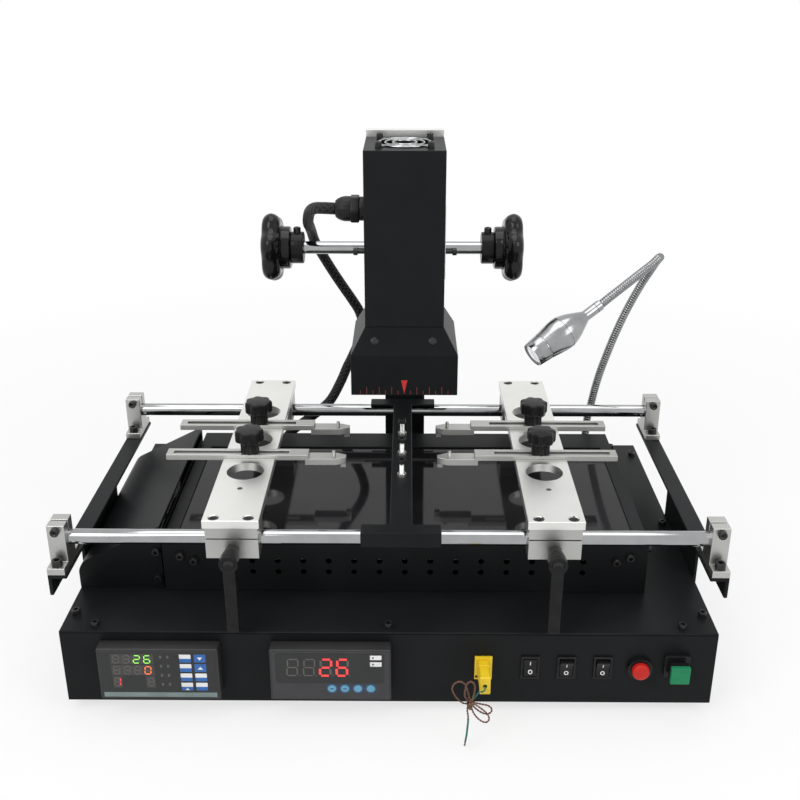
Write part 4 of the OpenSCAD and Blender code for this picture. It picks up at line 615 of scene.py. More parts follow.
for side in ("left", "right"):
    x = clampSet[side]
    body = side + "_clamp"
    bm = bmesh.new()
    addNode(bm, side + "_carriage", round=0.5, shortest=2.6)
    for sx in (-clampSet["screwX"], clampSet["screwX"]):
        for behind in clampSet["screwBehind"]:
            addScrew(bm, at(x + sx, behind, clampSet["plateTop"] - clampSet["sunk"]), (0, 0, 1), headD=8.4, headH=3.4,
                     mat=1)
    finishPiece(side + "Carriage", bm, body, [plateAluminium, blackOxide], [side + "_carriage"])
    dressNode(side + "ClampBlocks", side + "_clamp_blocks", body, satinAluminium, round=0.6,
              shortest=3)

    # Clamp lever: turned hub with a sunk socket screw, flat straight arm
    bm = bmesh.new()
    addTurned(bm, leverSet["hub"], at(x, leverSet["seat"], leverSet["above"]), (0, -1, 0), 32)
    part = newCube(-leverSet["arm"] * mm, leverSet["arm"] * mm)
    bmesh.ops.scale(part, vec=(1, leverSet["taper"], 1), verts=[v for v in part.verts if v.co.z < 0])
    bevelAll(part, part.edges[:], leverSet["edge"], 3)
    pour(part, bm, 0, Matrix.Translation(at(x, *leverSet["armPlace"])))
    addScrew(bm, at(x, leverSet["screw"], leverSet["above"]), (0, -1, 0), headD=8, headH=1, mat=1)
    addRod(bm, *[at(x, behind, leverSet["above"]) for behind in leverSet["stud"]], leverSet["studR"], sides=24, mat=1)
    finishPiece(side + "Lever", bm, side + "_lever", [knobPlastic, blackOxide], [side + "_lever"])

    for row, behind in knobSet["rows"].items():
        node, name = side + "_" + row, side + row.title()
        dressNode(name + "Finger", node + "_finger", node + "_finger", satinAluminium, round=0.35)
        bm = bmesh.new()
        foot = at(x, behind, knobSet["foot"])
        addLofted(bm, knobSet["star"], foot, (0, 0, 1), sides=112, outline=lobedOutline(7, 0.13, 1.0))
        addLofted(bm, knobSet["collar"], foot, (0, 0, 1), sides=120, outline=lobedOutline(10, 0.13, 0.8))
        addRod(bm, *[at(x, behind, knobSet["foot"] + z) for z in knobSet["stud"]], knobSet["studR"], sides=24, mat=1)
        finishPiece(name + "Knob", bm, node + "_knob", [knobPlastic, milledSteel], [node + "_knob"])

# Centre beam and its three support pins: screw, thread and nut
pinSet = {"x": 10, "beamTop": 81.7, "behind": (111.5, 153.5, 195.5), "neck": 93.7, "headD": 6.5, "length": 20.2,
          "threads": 28, "pitch": 0.7, "root": (1.72, 0.2), "crest": (2.0, 0.55), "end": (1.72, 20.0),
          "nut": ((4, 0, hexOutline), (4, 2.6, hexOutline), (3.4, 3, roundOutline))}
dressNode("centreBeam", "centre_beam", "beam", paintBlack, round=0.7)
thread = [(0, 0)]
for k in range(pinSet["threads"]):
    thread += [(r, a + pinSet["pitch"] * k) for r, a in (pinSet["root"], pinSet["crest"])]
thread += [pinSet["end"], (0, pinSet["length"])]
bm = bmesh.new()
for behind in pinSet["behind"]:
    addScrew(bm, at(pinSet["x"], behind, pinSet["neck"]), (0, 0, 1), headD=pinSet["headD"], mat=1)
    addTurned(bm, thread, at(pinSet["x"], behind, pinSet["neck"] - pinSet["length"]), (0, 0, 1), 20)
    addLofted(bm, pinSet["nut"], at(pinSet["x"], behind, pinSet["beamTop"]), (0, 0, 1))
finishPiece("supportPins", bm, "beam", [plateAluminium, blackOxide], ["support_pins"])
print("board clamp built")

# Column, slider and handwheels
sliderSet = {"screws": ((-26, -1), (50, 1)), "reach": 6.5, "behind": 271, "above": 235.7, "screwR": 2}
wheelSet = {"inner": 84, "axis": (284, 236), "lobes": 6, "scallop": 0.15, "phase": 11.5, "screw": (6, 14.2),
            "rim": ((16, 20.5), (26, 20.8), (29, 21.7), (31.4, 23.5), (33, 26), (33.8, 28.2), (34, 29.6), (33.8, 31),
                    (33, 33.2), (31.4, 35.4), (29, 37.2), (26, 38), (22, 37.4), (18, 35.6), (10, 35.2), (4, 36.4),
                    (0.5, 36.5)),
            "hub": ((6, 11.5), (17.5, 11.8), (19.6, 12.6), (20, 14), (20, 19), (21.5, 21), (6, 21.5)),
            "collar": ((6, 0.2), (14.3, 0), (15, 0.7), (15, 11), (14.2, 11.8), (6, 11.9))}
dressNode("column", "column", "base", paintBlack, round=1.5, steps=3)
bm = bmesh.new()
addNode(bm, "head_slider", round=0.7)
for x, sense in sliderSet["screws"]:
    foot = at(x, sliderSet["behind"], sliderSet["above"])
    end = foot + Vector((sense * sliderSet["reach"] * mm, 0, 0))
    addRod(bm, foot, end, sliderSet["screwR"], sides=20, mat=1)
    addScrew(bm, end, (sense, 0, 0), mat=1)
finishPiece("headSlider", bm, "head", [plateAluminium, blackOxide], ["head_slider"])
bm = bmesh.new()
for sense in (-1, 1):
    inner = at(sense * wheelSet["inner"], *wheelSet["axis"])
    out = (sense, 0, 0)
    scallops = lobedOutline(wheelSet["lobes"], wheelSet["scallop"], 1.2, sense * math.radians(wheelSet["phase"]))
    addLofted(bm, wheelSet["rim"], inner, out, sides=168, outline=scallops)
    addTurned(bm, wheelSet["hub"], inner, out)
    addTurned(bm, wheelSet["collar"], inner, out, mat=1)
    along, above = wheelSet["screw"]
    addScrew(bm, inner + Vector((sense * along, 0, above)) * mm, (0, 0, 1), headH=5.4, mat=2)
finishPiece("handwheels", bm, "lift", [wheelPhenolic, knobPlastic, blackOxide], ["handwheels"])
print("lift built")

# Head box, and the hood with its scale
headSet = {"x": 12, "middle": 176, "top": 351.5}
hoodSet = {"half": 45, "bottom": 148.5, "skirtTop": 184, "top": 205.5, "topHalf": (33, 34), "wall": 1.5, "fold": 0.9,
           "screwX": (-13, 35.6), "screw": (136.6, 195), "screwD": 5, "screwH": 0.8,
           "washer": ((2.5, -0.2), (3.3, -0.2), (3.3, 0.35), (2.9, 0.5), (2.5, 0.35), (2.5, -0.2))}
dressNode("headBox", "head_housing", "head", paintBlack, round=1.2, steps=3, shortest=3)
bm = bmesh.new()
half, rise = hoodSet["half"], hoodSet["top"] - hoodSet["skirtTop"]
part = newCube(at(headSet["x"] - half, headSet["middle"] - half, hoodSet["bottom"]),
               at(headSet["x"] + half, headSet["middle"] + half, hoodSet["skirtTop"]))
roof = [f for f in part.faces if f.normal.z > 0.9]
floor = [f for f in part.faces if f.normal.z < -0.9]
raised = bmesh.ops.extrude_face_region(part, geom=roof)["geom"]
bmesh.ops.delete(part, geom=roof, context="FACES")
upper = [g for g in raised if isinstance(g, bmesh.types.BMVert)]
bmesh.ops.translate(part, vec=(0, 0, rise * mm), verts=upper)
bmesh.ops.scale(part, vec=(hoodSet["topHalf"][0] / half, hoodSet["topHalf"][1] / half, 1), verts=upper,
                space=Matrix.Translation(-at(headSet["x"], headSet["middle"], 0)))
bmesh.ops.delete(part, geom=floor + [f for f in part.faces if f.normal.z > 0.9], context="FACES")
bmesh.ops.recalc_face_normals(part, faces=part.faces)
bevelAll(part, [e for e in part.edges if len(e.link_faces) == 2], hoodSet["fold"], 3)
bmesh.ops.solidify(part, geom=part.faces[:], thickness=hoodSet["wall"] * mm)
pour(part, bm)
slope = Vector((0, -rise, half - hoodSet["topHalf"][1])).normalized()
for x in hoodSet["screwX"]:
    seat = at(x, *hoodSet["screw"])
    addScrew(bm, seat, slope, headD=hoodSet["screwD"], headH=hoodSet["screwH"], mat=2)
    addTurned(bm, hoodSet["washer"], seat, slope, 32, 3)
tickSet = {"pitch": 5.3, "reach": 7, "short": 3.4, "long": 6.6, "half": 0.275, "foot": 149.2, "face": (130.85, 131.2),
           "arrow": ((-2.6, 162.0), (2.6, 162.0), (0, 149.5)), "arrowFace": 130.8, "arrowDeep": 0.4}
for k in range(-tickSet["reach"], tickSet["reach"] + 1):
    if k:
        tall = tickSet["long"] if k % 2 == 0 else tickSet["short"]
        x = headSet["x"] + k * tickSet["pitch"]
        front, back = tickSet["face"]
        addBlock(bm, at(x - tickSet["half"], front, tickSet["foot"]),
                 at(x + tickSet["half"], back, tickSet["foot"] + tall), mat=1)
addPrism(bm, [at(headSet["x"] + dx, tickSet["arrowFace"], h) for dx, h in tickSet["arrow"]], tickSet["arrowDeep"], 4)
finishPiece("hood", bm, "head", [paintHood, tickRed, blackOxide, glossPlastic, scaleRed], ["hood"],
            sharp=40)

# Fan in the head's roof: wire guard, frame with motor seat and arms, rotor
fanSet = {"corner": 21, "rings": (22, 16.1, 9.7), "wire": 0.8, "spoke": (8.3, 29), "screwD": 5.5, "screwH": 5,
          "frame": (25, -16.5, -1.5), "wall": 3, "seat": ((0, 0), (11, 0), (11, 2.6), (10.4, 3), (0, 3)),
          "arms": (45, 165, 285), "arm": (10, 23.5), "armR": 1.4, "armUp": 1}
rotorSet = {"drop": 13.2, "blades": 7, "blade": (11.8, 11), "crown": 0.9, "flare": (0.85, 0.2), "pitch": 35,
            "place": (15.8, 0, 5), "thick": 0.9,
            "hub": ((0, 0), (10.4, 0), (11, 0.5), (11, 9), (10, 10), (4, 10), (3.6, 9.7), (0, 9.7))}
up = Vector((0, 0, 1))


def outward(angle):
    return Vector((math.cos(angle), math.sin(angle), 0))


bm = bmesh.new()
hub = at(headSet["x"], headSet["middle"], headSet["top"])
wireTop = hub + up * fanSet["wire"] * mm
for radius in fanSet["rings"]:
    ring = [wireTop + outward(k * math.pi / 24) * radius * mm for k in range(49)]
    addTube(bm, ring, [fanSet["wire"]], sides=10, side=up, mat=1, ends=False)
for k in range(4):
    out = outward(math.pi / 4 + k * math.pi / 2)
    addRod(bm, *[wireTop + out * span * mm for span in fanSet["spoke"]], fanSet["wire"], sides=12, mat=1)
    addScrew(bm, hub + out * math.sqrt(2) * fanSet["corner"] * mm, up, headD=fanSet["screwD"], headH=fanSet["screwH"],
             mat=2)
half, low, high = fanSet["frame"]
part = newCube(hub + Vector((-half, -half, low)) * mm, hub + Vector((half, half, high)) * mm)
lids = [f for f in part.faces if abs(f.normal.z) > 0.9]
bmesh.ops.inset_individual(part, faces=lids, thickness=fanSet["wall"] * mm)
bmesh.ops.delete(part, geom=lids, context="FACES")
bmesh.ops.bridge_loops(part, edges=[e for e in part.edges if len(e.link_faces) == 1])
bmesh.ops.recalc_face_normals(part, faces=part.faces)
pour(part, bm)
seat = hub + up * low * mm
addTurned(bm, fanSet["seat"], seat, up)
for degrees in fanSet["arms"]:
    out = outward(math.radians(degrees))
    addRod(bm, *[seat + (out * span + up * fanSet["armUp"]) * mm for span in fanSet["arm"]], fanSet["armR"], sides=10)
finishPiece("headFan", bm, "head", [panelPlastic, groundChrome, blackOxide], ["head_fan"])
bm = bmesh.new()
foot = hub - up * rotorSet["drop"] * mm
addTurned(bm, rotorSet["hub"], foot, up)
long, wide = (size * mm for size in rotorSet["blade"])
for k in range(rotorSet["blades"]):
    part = bmesh.new()
    bmesh.ops.create_grid(part, x_segments=6, y_segments=4, size=0.5)
    bmesh.ops.scale(part, vec=(long, wide, 1), verts=part.verts)
    for vert in part.verts:
        vert.co.z += rotorSet["crown"] * mm * (1 - (2 * vert.co.y / wide) ** 2)
        vert.co.y *= rotorSet["flare"][0] + rotorSet["flare"][1] * (vert.co.x / long + 0.5)
    tilt = Matrix.Rotation(math.radians(rotorSet["pitch"]), 3, "X")
    bmesh.ops.rotate(part, cent=(0, 0, 0), matrix=tilt, verts=part.verts)
    bmesh.ops.translate(part, vec=Vector(rotorSet["place"]) * mm, verts=part.verts)
    bmesh.ops.solidify(part, geom=part.faces[:], thickness=rotorSet["thick"] * mm)
    pour(part, bm, 0, Matrix.Translation(foot) @ Matrix.Rotation(k * 2 * math.pi / rotorSet["blades"], 4, "Z"))
finishPiece("fanRotor", bm, "head_fan_wheel", [panelPlastic], ["fan_rotor"])

# Cable glands: hexagon nut and ribbed dome round the cable, the head's on a seat ring
glandSet = {"headFoot": (-21, 180, 297), "lidFoot": (-113.5, 303, 0),
            "ring": ((5.05, 0), (9.6, 0), (10, 0.4), (10, 4.4), (9.4, 5), (5.05, 5)),
            "nut": ((11.4, 5.0, hexOutline), (12.1, 5.8, hexOutline), (12.1, 11.4, hexOutline),
                    (11.2, 12.4, hexOutline), (10.2, 12.5, roundOutline)),
            "dome": ((10.3, 12.3), (10.5, 13.2), (10.5, 17), (9.9, 20), (8.6, 22.8), (7.2, 24.6), (6.6, 25),
                     (5.3, 24.8), (5.1, 23)),
            "lidNut": ((11.4, 0, hexOutline), (12.1, 0.8, hexOutline), (12.1, 4.2, hexOutline), (11.3, 5, hexOutline),
                       (10, 5, roundOutline)),
            "lidDome": ((9.8, 4.8), (10, 5.4), (10, 8), (8.8, 10), (7.5, 11.6), (7, 12), (5.3, 11.9), (5.1, 10))}
ribs = lobedOutline(18, 0.03, 1)
bm = bmesh.new()
foot, out = at(*glandSet["headFoot"]), (-1, 0, 0)
addTurned(bm, glandSet["ring"], foot, out, 40)
addLofted(bm, glandSet["nut"], foot, out, sides=48)
addLofted(bm, glandSet["dome"], foot, out, sides=72, outline=ribs)
finishPiece("headGland", bm, "head", [glandNylon], ["head_gland"])
bm = bmesh.new()
foot = at(*glandSet["lidFoot"])
addLofted(bm, glandSet["lidNut"], foot, up, sides=48)
addLofted(bm, glandSet["lidDome"], foot, up, sides=72, outline=ribs)
finishPiece("baseGland", bm, "base", [glandNylon], ["base_gland"])
print("head built")

# Work lamp: threaded foot, spiral neck, turned bell and lens
lampSet = {"foot": (200, 305, 0), "tip": (189.2, 221.6, 199.7), "axis": (-0.79, -0.395, -0.465), "neck": 4.0,
           "groove": 3.5, "spacing": 0.8, "stiffTo": (247.2, 288, 212.5), "turnsFrom": (248, 265, 231)}
neckRoute = [at(*p) for p in (
    (200, 305, 2.3), (200, 305, 20), (200, 305, 34), (200.8, 305, 50), (203.5, 304, 68), (206.3, 303, 86),
    (210, 302, 104), (214.2, 301, 120), (218.7, 300, 136), (223.8, 299, 152), (229.5, 298, 168), (235.7, 296, 184),
    (242.2, 293, 200), (247.2, 288, 212.5), (250.4, 281, 223.4), (251.7, 276, 228.2), (251, 270, 231), (248, 265, 231),
    (242, 259, 227.6), (233, 251.6, 223.4), (221.5, 242.3, 217.9), (210.4, 234.2, 212.1), (199.6, 227.3, 206.1),
    (192.4, 223.2, 201.6), (189.2, 221.6, 199.7))]
bm = bmesh.new()
addTube(bm, smoothRoute(neckRoute, lampSet["spacing"]), [lampSet["neck"], lampSet["neck"], lampSet["groove"]],
        sides=20, side=(1, 0, 0))
lampNeck = finishPiece("lampNeck", bm, None, [neckSteel], ["gooseneck_lower", "gooseneck_upper"],
                       flats=False)
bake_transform(lampNeck, "lamp_stem", "lamp_arm", start=at(*lampSet["stiffTo"]), end=at(*lampSet["turnsFrom"]))
bm = bmesh.new()
foot = at(*lampSet["foot"])
addLofted(bm, [(9.4, 0, hexOutline), (10, 0.6, hexOutline), (10, 8.2, hexOutline), (9.2, 9, hexOutline),
               (6.6, 9, roundOutline)], foot, (0, 0, 1), sides=48)
addTurned(bm, [(4.1, 8.8), (6.4, 8.8), (6.5, 9.4), (6.5, 16.6), (5.6, 18), (4.1, 18)], foot, (0, 0, 1))
finishPiece("lampFoot", bm, "base", [neckSteel], ["lamp_base"])
bm = bmesh.new()
tip = at(*lampSet["tip"])
out = Vector(lampSet["axis"]).normalized()
bell = [(0, -0.5), (4.6, -0.5), (5, 0), (5, 5), (4.6, 5.3), (5, 5.6), (5, 17.6), (5.4, 18.5), (7.4, 22.5),
        (9.4, 26.6), (11.6, 31), (13.2, 35.1), (14.7, 40), (15.3, 43), (14.9, 43.3), (14.9, 44.1), (15.4, 44.5),
        (15.4, 47), (15.1, 51), (14.1, 57.5), (13.2, 63), (12.8, 65.6), (12.3, 65.9), (12.3, 66.7), (12.6, 67.1),
        (12.1, 73), (11.5, 78.8), (11.1, 79.5), (10.2, 79.3), (10.05, 78), (10.05, 73.7), (0, 73.7)]
addTurned(bm, bell, tip, out, 64)
finishPiece("lampHead", bm, "lamp_arm", [lampAluminium], ["lamp_head"], sharp=35, flats=False)
bm = bmesh.new()
lens = [(0, 73.8), (10, 73.8), (10, 76.4), (9.4, 77.6), (7.6, 78.7), (4.4, 79.3), (0, 79.5)]
addTurned(bm, lens, tip, out, 48)
finishPiece("lampLens", bm, "lamp_arm", [lensGlow], ["lamp_lens"], sharp=60, flats=False)
print("lamp built")

# Control panel faces are drawn by distance from the bezel's left edge and from its top
panelSet = {"above": -32, "width": 96, "height": 48, "proud": 12.5, "edge": 1.2, "inset": 2.5, "case": (-0.5, 70),
            "caseEdge": 1, "litProud": 0.32, "dimProud": 0.28, "digitLean": 0.09, "digitGap": 0.55}
segmentBars = {"a": (0, 2, 1, 2), "b": (1, 1, 1, 2), "c": (1, 0, 1, 1), "d": (0, 0, 1, 0), "e": (0, 0, 0, 1),
               "f": (0, 1, 0, 2), "g": (0, 1, 1, 1)}
litBars = {"0": "abcdef", "1": "bc", "2": "abged", "6": "acdefg", " ": ""}


def facePoint(x, left, down, proud):
    return at(x - panelSet["width"] / 2 + left, -panelSet["proud"] - proud,
              panelSet["above"] + panelSet["height"] / 2 - down)


def addPlate(bm, x, left, down, width, height, proud=0.15, sunk=0.2, round=0.12, mat=0):
    addBlock(bm, facePoint(x, left, down + height, proud), facePoint(x, left + width, down, -sunk), round=round,
             mat=mat)


# One seven-bar digit, leaning to the right
def addDigit(bm, x, left, down, width, height, sign, litMat, dimMat, thick):
    gap = thick * panelSet["digitGap"]
    for bar, (x0, z0, x1, z1) in segmentBars.items():
        lit = bar in litBars[sign]
        look = {"proud": panelSet["litProud" if lit else "dimProud"], "mat": litMat if lit else dimMat}
        low = height - height * z1 / 2
        high = height - height * z0 / 2
        shift = panelSet["digitLean"] * height * (z0 + z1) / 4
        if x0 == x1:
            addPlate(bm, x, left + width * x0 - thick / 2 + shift, down + low + gap, thick, high - low - 2 * gap,
                     **look)
        else:
            addPlate(bm, x, left + gap + shift, down + low - thick / 2, width - 2 * gap, thick, **look)


def addTriangle(bm, x, left, down, size, up, mat):
    sense = -1 if up else 1
    marks = ((-1, -0.6), (1, -0.6), (0, 0.7))
    addPrism(bm, [facePoint(x, left + dx * size, down + dy * size * sense, 0.5) for dx, dy in marks], 0.3, mat)


# Bezel, and the case behind the panel
def addCase(bm, x):
    half, tall, inset = panelSet["width"] / 2, panelSet["height"] / 2, panelSet["inset"]
    above = panelSet["above"]
    addBlock(bm, at(x - half, -panelSet["proud"], above - tall), at(x + half, 0, above + tall), round=panelSet["edge"],
             steps=3)
    front, back = panelSet["case"]
    addBlock(bm, at(x - half + inset, front, above - tall + inset), at(x + half - inset, back, above + tall - inset),
             round=panelSet["caseEdge"])


# Left controller: four windows with digits, lamps, eight keys and a strip
leftSet = {"x": -181.5, "face": (2.5, 2.2, 91, 43.8), "digitPitch": 8.2,
           "windows": ((11, 4.6, 34, 9.4), (11, 15, 34, 9.6), (11.2, 25.8, 7.4, 11), (37.6, 25.8, 7.2, 11)),
           "digits": (("  26", 12.6, 5.8, 4.6, 7, 4, 0.9), ("   0", 12.6, 16.3, 4.6, 7, 5, 0.9),
                      ("1", 12.2, 27.4, 4.4, 7.4, 6, 0.9), (" ", 39, 27.4, 4.2, 7.4, 6, 0.8)),
           "lamp": (49.6, 5.8, 1.9, 2.6), "lampPitch": (5.6, 8.7), "keyColumns": (65.3, 76.9),
           "keyRows": (4.7, 13.7, 22.7, 31.7), "key": (9.2, 7.4), "band": 3.9, "arrow": (4.6, 3.7, 2.1),
           "lowArrow": (4.6, 5.9, 1.6), "strip": (2.8, 41.2, 90.4, 4.4)}
bm = bmesh.new()
x = leftSet["x"]
addCase(bm, x)
addPlate(bm, x, *leftSet["face"], proud=0.1, mat=1)
for window in leftSet["windows"]:
    addPlate(bm, x, *window, proud=0.2, mat=2)
for signs, left, down, width, height, mat, thick in leftSet["digits"]:
    for k, sign in enumerate(signs):
        addDigit(bm, x, left + leftSet["digitPitch"] * k, down, width, height, sign, mat, 3, thick)
left, down, width, height = leftSet["lamp"]
for column in range(2):
    for row in range(4):
        addPlate(bm, x, left + leftSet["lampPitch"][0] * column, down + leftSet["lampPitch"][1] * row, width, height,
                 proud=0.3, mat=3)
for column, left in enumerate(leftSet["keyColumns"]):
    for row, down in enumerate(leftSet["keyRows"]):
        addPlate(bm, x, left, down, *leftSet["key"], proud=0.35, round=0.3, mat=7)
        if column == 1 and row < 2:
            dx, dy, size = leftSet["arrow"]
            addTriangle(bm, x, left + dx, down + dy, size, row == 1, 8)
        else:
            addPlate(bm, x, left, down, leftSet["key"][0], leftSet["band"], proud=0.42, round=0.3, mat=8)
        if column == 0 and row == 3:
            dx, dy, size = leftSet["lowArrow"]
            addTriangle(bm, x, left + dx, down + dy, size, True, 8)
addPlate(bm, x, *leftSet["strip"], proud=0.3, round=0.2, mat=9)

# Right controller: one framed window with large digits, two tags and four round keys
rightSet = {"x": -45.5, "face": (1.6, 1.6, 92.8, 44.8), "frame": (86, 28.4), "frameRound": 3, "frameLine": 0.9,
            "framePlace": (47.6, 17.3, 0.25), "digits": "  26", "digit": (13.4, 8.6, 8.2, 15.4), "digitPitch": 13.1,
            "thin": 1.25, "thick": 1.9, "dot": (23.2, 23.4, 1.1), "tags": (4.6, 10.9), "tag": (79.4, 9.2, 4.3),
            "tagDot": (81.0, 1.4, 1.5), "keys": (49, 59.3, 69.6, 79.9), "keyDown": 36.4, "keyArrow": 1.3,
            "dash": (1.2, 0.6), "keyRim": ((4.4, 0), (4.4, 0.3), (4.0, 0.42), (3.5, 0.42), (0, 0.42)),
            "keyCap": ((3.2, 0.3), (3.2, 0.5), (2.8, 0.62), (0, 0.66))}
x = rightSet["x"]
addCase(bm, x)
addPlate(bm, x, *rightSet["face"], proud=0.1, mat=10)
part = bmesh.new()
bmesh.ops.create_grid(part, x_segments=1, y_segments=1, size=0.5)
bmesh.ops.scale(part, vec=(rightSet["frame"][0] * mm, rightSet["frame"][1] * mm, 1), verts=part.verts)
bevelAll(part, part.verts[:], rightSet["frameRound"], 5, "VERTICES")
bmesh.ops.inset_region(part, faces=part.faces[:], thickness=rightSet["frameLine"] * mm)
inside = max(part.faces, key=lambda f: f.calc_area())
for face in part.faces:
    face.material_index = 1 if face == inside else 11
part.transform(Matrix.Translation(facePoint(x, *rightSet["framePlace"])) @ Matrix.Rotation(math.pi / 2, 4, "X"))
part.to_mesh(scratch)
part.free()
bm.from_mesh(scratch)
left, down, width, height = rightSet["digit"]
dotLeft, dotDown, dot = rightSet["dot"]
for k, sign in enumerate(rightSet["digits"]):
    shift = rightSet["digitPitch"] * k
    addDigit(bm, x, left + shift, down, width, height, sign, 6, 3, rightSet["thin" if sign == " " else "thick"])
    addPlate(bm, x, dotLeft + shift, dotDown, dot, dot, proud=0.3, mat=3)
left, width, height = rightSet["tag"]
dotLeft, dotDown, dot = rightSet["tagDot"]
for down in rightSet["tags"]:
    addPlate(bm, x, left, down, width, height, proud=0.5, round=0.35, mat=8)
    addPlate(bm, x, dotLeft, down + dotDown, dot, dot, proud=0.56, round=0.2, mat=1)
for k, left in enumerate(rightSet["keys"]):
    middle = facePoint(x, left, rightSet["keyDown"], 0)
    addTurned(bm, rightSet["keyRim"], middle, (0, -1, 0), 40, 12)
    addTurned(bm, rightSet["keyCap"], middle, (0, -1, 0), 32, 13)
    if k > 1:
        addTriangle(bm, x, left, rightSet["keyDown"], rightSet["keyArrow"], k == 2, 12)
    else:
        half, tall = rightSet["dash"]
        addPlate(bm, x, left - half, rightSet["keyDown"] - tall, 2 * half, 2 * tall, proud=0.78, round=0.2, mat=12)
finishPiece("temperatureControllers", bm, "base",
            [panelPlastic, windowPlastic, windowGrey, segmentOff, segmentGreen, segmentOrange, segmentRed, keyBlue,
             markWhite, stripGrey, facePlastic, markWhite, keyRing, keyPale],
            ["temperature_controllers"])

# Switch bezels, rockers with their marks, stop and start buttons
switchSet = {"rockers": {"light": (113.5, -8), "fan": (142.5, 8), "cooling": (171.5, 8)}, "pivot": (3, -32),
             "lean": (1.6, 7.2), "half": (-5.72, 3.7), "stroke": (Vector((-0.35, 0, -1.7)), Vector((0.35, 0.3, 1.7))),
             "ring": ((1.1, 0), (1.8, 0), (1.8, 0.3), (1.1, 0.3), (1.1, 0)), "ringDeep": 0.3}
dressNode("switchBezels", "switch_bezels", "base", glossPlastic, round=0.5, shortest=3)
for name, (x, tilt) in switchSet["rockers"].items():
    bm = bmesh.new()
    addNode(bm, name + "_rocker", round=0.4, shortest=3)
    marks = bmesh.new()
    for sense in (1, -1):  # each half of the rocker's face leans towards its middle
        proud, reach = switchSet["half"]
        lean = Matrix.Rotation(math.atan2(*switchSet["lean"]) * sense, 4, "X")
        face = Matrix.Translation((0, proud * mm, reach * sense * mm)) @ lean
        if sense > 0:
            stroke = bmesh.new()
            addBlock(stroke, *[corner * mm for corner in switchSet["stroke"]], round=0.1)
            pour(stroke, marks, 0, face)
        else:
            addTurned(marks, switchSet["ring"], face @ Vector((0, switchSet["ringDeep"] * mm, 0)),
                      face.to_3x3() @ Vector((0, -1, 0)), 28)
    place = Matrix.Translation(at(x, *switchSet["pivot"])) @ Matrix.Rotation(math.radians(tilt), 4, "X")
    pour(marks, bm, 1, place)
    finishPiece(name + "Rocker", bm, name + "_rocker", [glossPlastic, markWhite], [name + "_rocker"])
stopSet = {"place": (201, -1, -32), "profile": ((0, 8), (4.6, 7.9), (6.2, 7.4), (6.9, 6.4), (7, 5), (7, 0.2), (6.8, 0),
                                                (3, 0), (3, -18), (0, -18))}
bm = bmesh.new()
addTurned(bm, stopSet["profile"], at(*stopSet["place"]), (0, -1, 0))
finishPiece("stopButton", bm, "stop_button", [stopRed], ["stop_button"], sharp=40)
startSet = {"x": 230, "above": -29, "half": 7.5, "cap": (-16, -12.2), "skirtHalf": 7.4, "skirt": (-12.6, -7.5),
            "stem": (-8, 17), "stemR": 3}
bm = bmesh.new()
x, above, half, thin = startSet["x"], startSet["above"], startSet["half"], startSet["skirtHalf"]
addBlock(bm, at(x - half, startSet["cap"][0], above - half), at(x + half, startSet["cap"][1], above + half), round=0.5,
         steps=3)
addBlock(bm, at(x - thin, startSet["skirt"][0], above - thin), at(x + thin, startSet["skirt"][1], above + thin),
         round=0.3, mat=1)
addRod(bm, *[at(x, behind, above) for behind in startSet["stem"]], startSet["stemR"], sides=24, mat=1)
finishPiece("startButton", bm, "start_button", [startGreen, glossPlastic], ["start_button"])

# Thermocouple socket and mains inlet
socketSet = {"screw": (70.6, -2.9, -39.6), "screwD": 2.4, "screwH": 0.4}
bm = bmesh.new()
addNode(bm, "thermocouple_socket", round=0.5, shortest=3)
addScrew(bm, at(*socketSet["screw"]), (0, -1, 0), headD=socketSet["screwD"], headH=socketSet["screwH"], mat=1)
finishPiece("thermocoupleSocket", bm, "base", [yellowPlastic, blackOxide], ["thermocouple_socket"])
inletSet = {"x": -200, "above": -32, "pins": ((-7, 0), (0, 4.5), (7, 0)), "half": (1.05, 2.05), "ends": (331, 347.1),
            "screwX": (-20, 20), "screwBehind": 348.4, "screwD": 5, "screwH": 0.5}
bm = bmesh.new()
addNode(bm, "mains_inlet", round=0.5, shortest=3)
half, tall = inletSet["half"]
for dx, dz in inletSet["pins"]:
    x, above = inletSet["x"] + dx, inletSet["above"] + dz
    addBlock(bm, at(x - half, inletSet["ends"][0], above - tall), at(x + half, inletSet["ends"][1], above + tall),
             round=0.5, mat=1)
for dx in inletSet["screwX"]:
    addScrew(bm, at(inletSet["x"] + dx, inletSet["screwBehind"], inletSet["above"]), (0, 1, 0),
             headD=inletSet["screwD"], headH=inletSet["screwH"], mat=2)
finishPiece("mainsInlet", bm, "base", [panelPlastic, neckSteel, blackOxide], ["mains_inlet"])
print("panel built")

# Nodes whose CAD form stays, with better finishes
carriedOver = {"ceramic_glass": darkGlass, "heater_plates": heaterCeramic, "blower_mount": milledSteel,
               "blower_rotor": satinAluminium, "rack": milledSteel, "solid_state_relays": relayIvory,
               "lift_shaft": groundChrome, "top_heater": heaterCeramic}
for node, finish in carriedOver.items():
    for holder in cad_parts[node].material_slots:
        holder.material = finish

# Pale floor that fades into the backdrop, and soft studio light
stageSet = {"floorSize": 3.0, "floorColor": (0.82, 0.82, 0.82, 1), "floorRough": 0.9, "fadeFrom": 0.45, "fadeTo": 1.1,
            "fadeLeast": 0.72, "worldLight": 0.55, "aim": Vector((0, 0, 0.15)),
            "lamps": (("keyLamp", (-0.9, -1.1, 1.5), 1.0, 14), ("fillLamp", (1.2, -0.9, 1.1), 0.9, 8),
                      ("topLamp", (0.0, 0.1, 1.7), 1.2, 10))}
white = (1, 1, 1, 1)


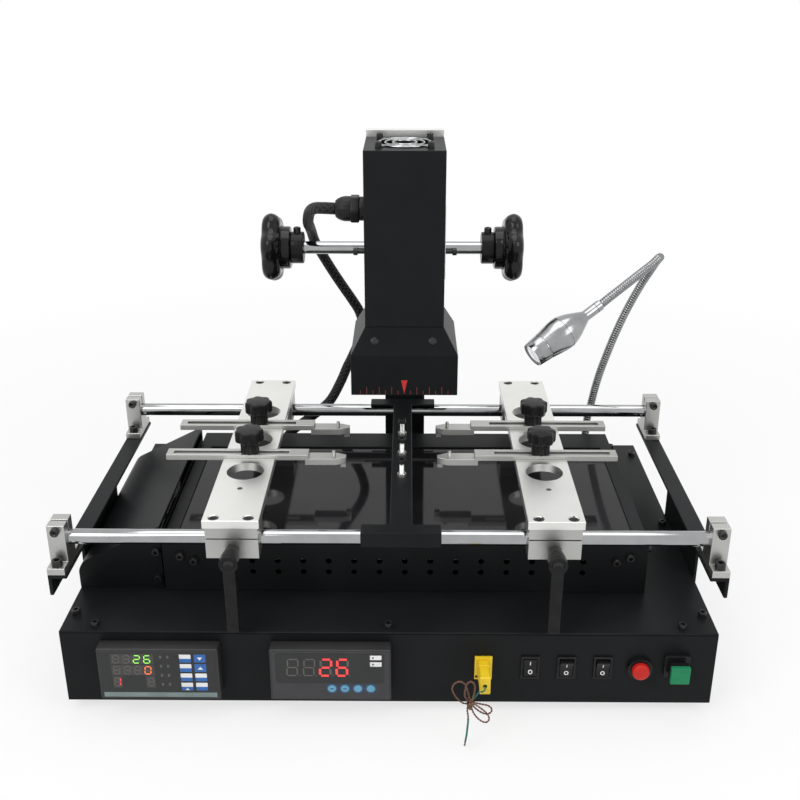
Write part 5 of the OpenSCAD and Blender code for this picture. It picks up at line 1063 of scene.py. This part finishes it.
# 1 for the rays that look at the background: straight from the camera, by gloss or through glass
def seenRays(tree):
    rays = newNode(tree, "LightPath").outputs
    seen = rays["Is Camera Ray"]
    for kind in ("Is Glossy Ray", "Is Transmission Ray"):
        seen = addMath(tree, "MAXIMUM", seen, rays[kind])
    return seen


bm = bmesh.new()
bmesh.ops.create_grid(bm, x_segments=1, y_segments=1, size=stageSet["floorSize"])
mesh = bpy.data.meshes.new("floor")
bm.to_mesh(mesh)
bm.free()
floorPlate = bpy.data.objects.new("floor", mesh)
bpy.context.scene.collection.objects.link(floorPlate)
floorLook = bpy.data.materials.new("floorPaper")
floorLook.use_nodes = True
tree = floorLook.node_tree
paper = tree.nodes["Principled BSDF"]
paper.inputs["Base Color"].default_value = stageSet["floorColor"]
paper.inputs["Roughness"].default_value = stageSet["floorRough"]
glow = newNode(tree, "Emission", {"Color": white})
reach = newNode(tree, "VectorMath", {0: newNode(tree, "TexCoord").outputs["Object"]})
reach.operation = "LENGTH"
fade = newNode(tree, "MapRange", {"Value": reach.outputs["Value"], "From Min": stageSet["fadeFrom"],
                                  "From Max": stageSet["fadeTo"], "To Min": stageSet["fadeLeast"]})
share = addMath(tree, "MULTIPLY", fade.outputs["Result"], seenRays(tree))
mix = newNode(tree, "MixShader", {"Fac": share, 1: paper.outputs["BSDF"], 2: glow.outputs["Emission"]})
tree.links.new(mix.outputs["Shader"], tree.nodes["Material Output"].inputs["Surface"])
mesh.materials.append(floorLook)
world = bpy.data.worlds.new("studio")
bpy.context.scene.world = world
world.use_nodes = True
tree = world.node_tree
sky = tree.nodes["Background"]
sky.inputs["Color"].default_value = white
level = newNode(tree, "MapRange", {"Value": seenRays(tree), "To Min": stageSet["worldLight"], "To Max": 1.0})
tree.links.new(level.outputs["Result"], sky.inputs["Strength"])
for name, place, size, power in stageSet["lamps"]:
    lamp = bpy.data.lights.new(name, "AREA")
    lamp.shape = "SQUARE"
    lamp.size = size
    lamp.energy = power
    holder = bpy.data.objects.new(name, lamp)
    holder.location = place
    aim = stageSet["aim"] - Vector(place)
    holder.rotation_euler = aim.to_track_quat("-Z", "Y").to_euler()
    bpy.context.scene.collection.objects.link(holder)
bpy.context.scene.view_settings.view_transform = "Standard"
bpy.data.meshes.remove(scratch)
print("stage lit")
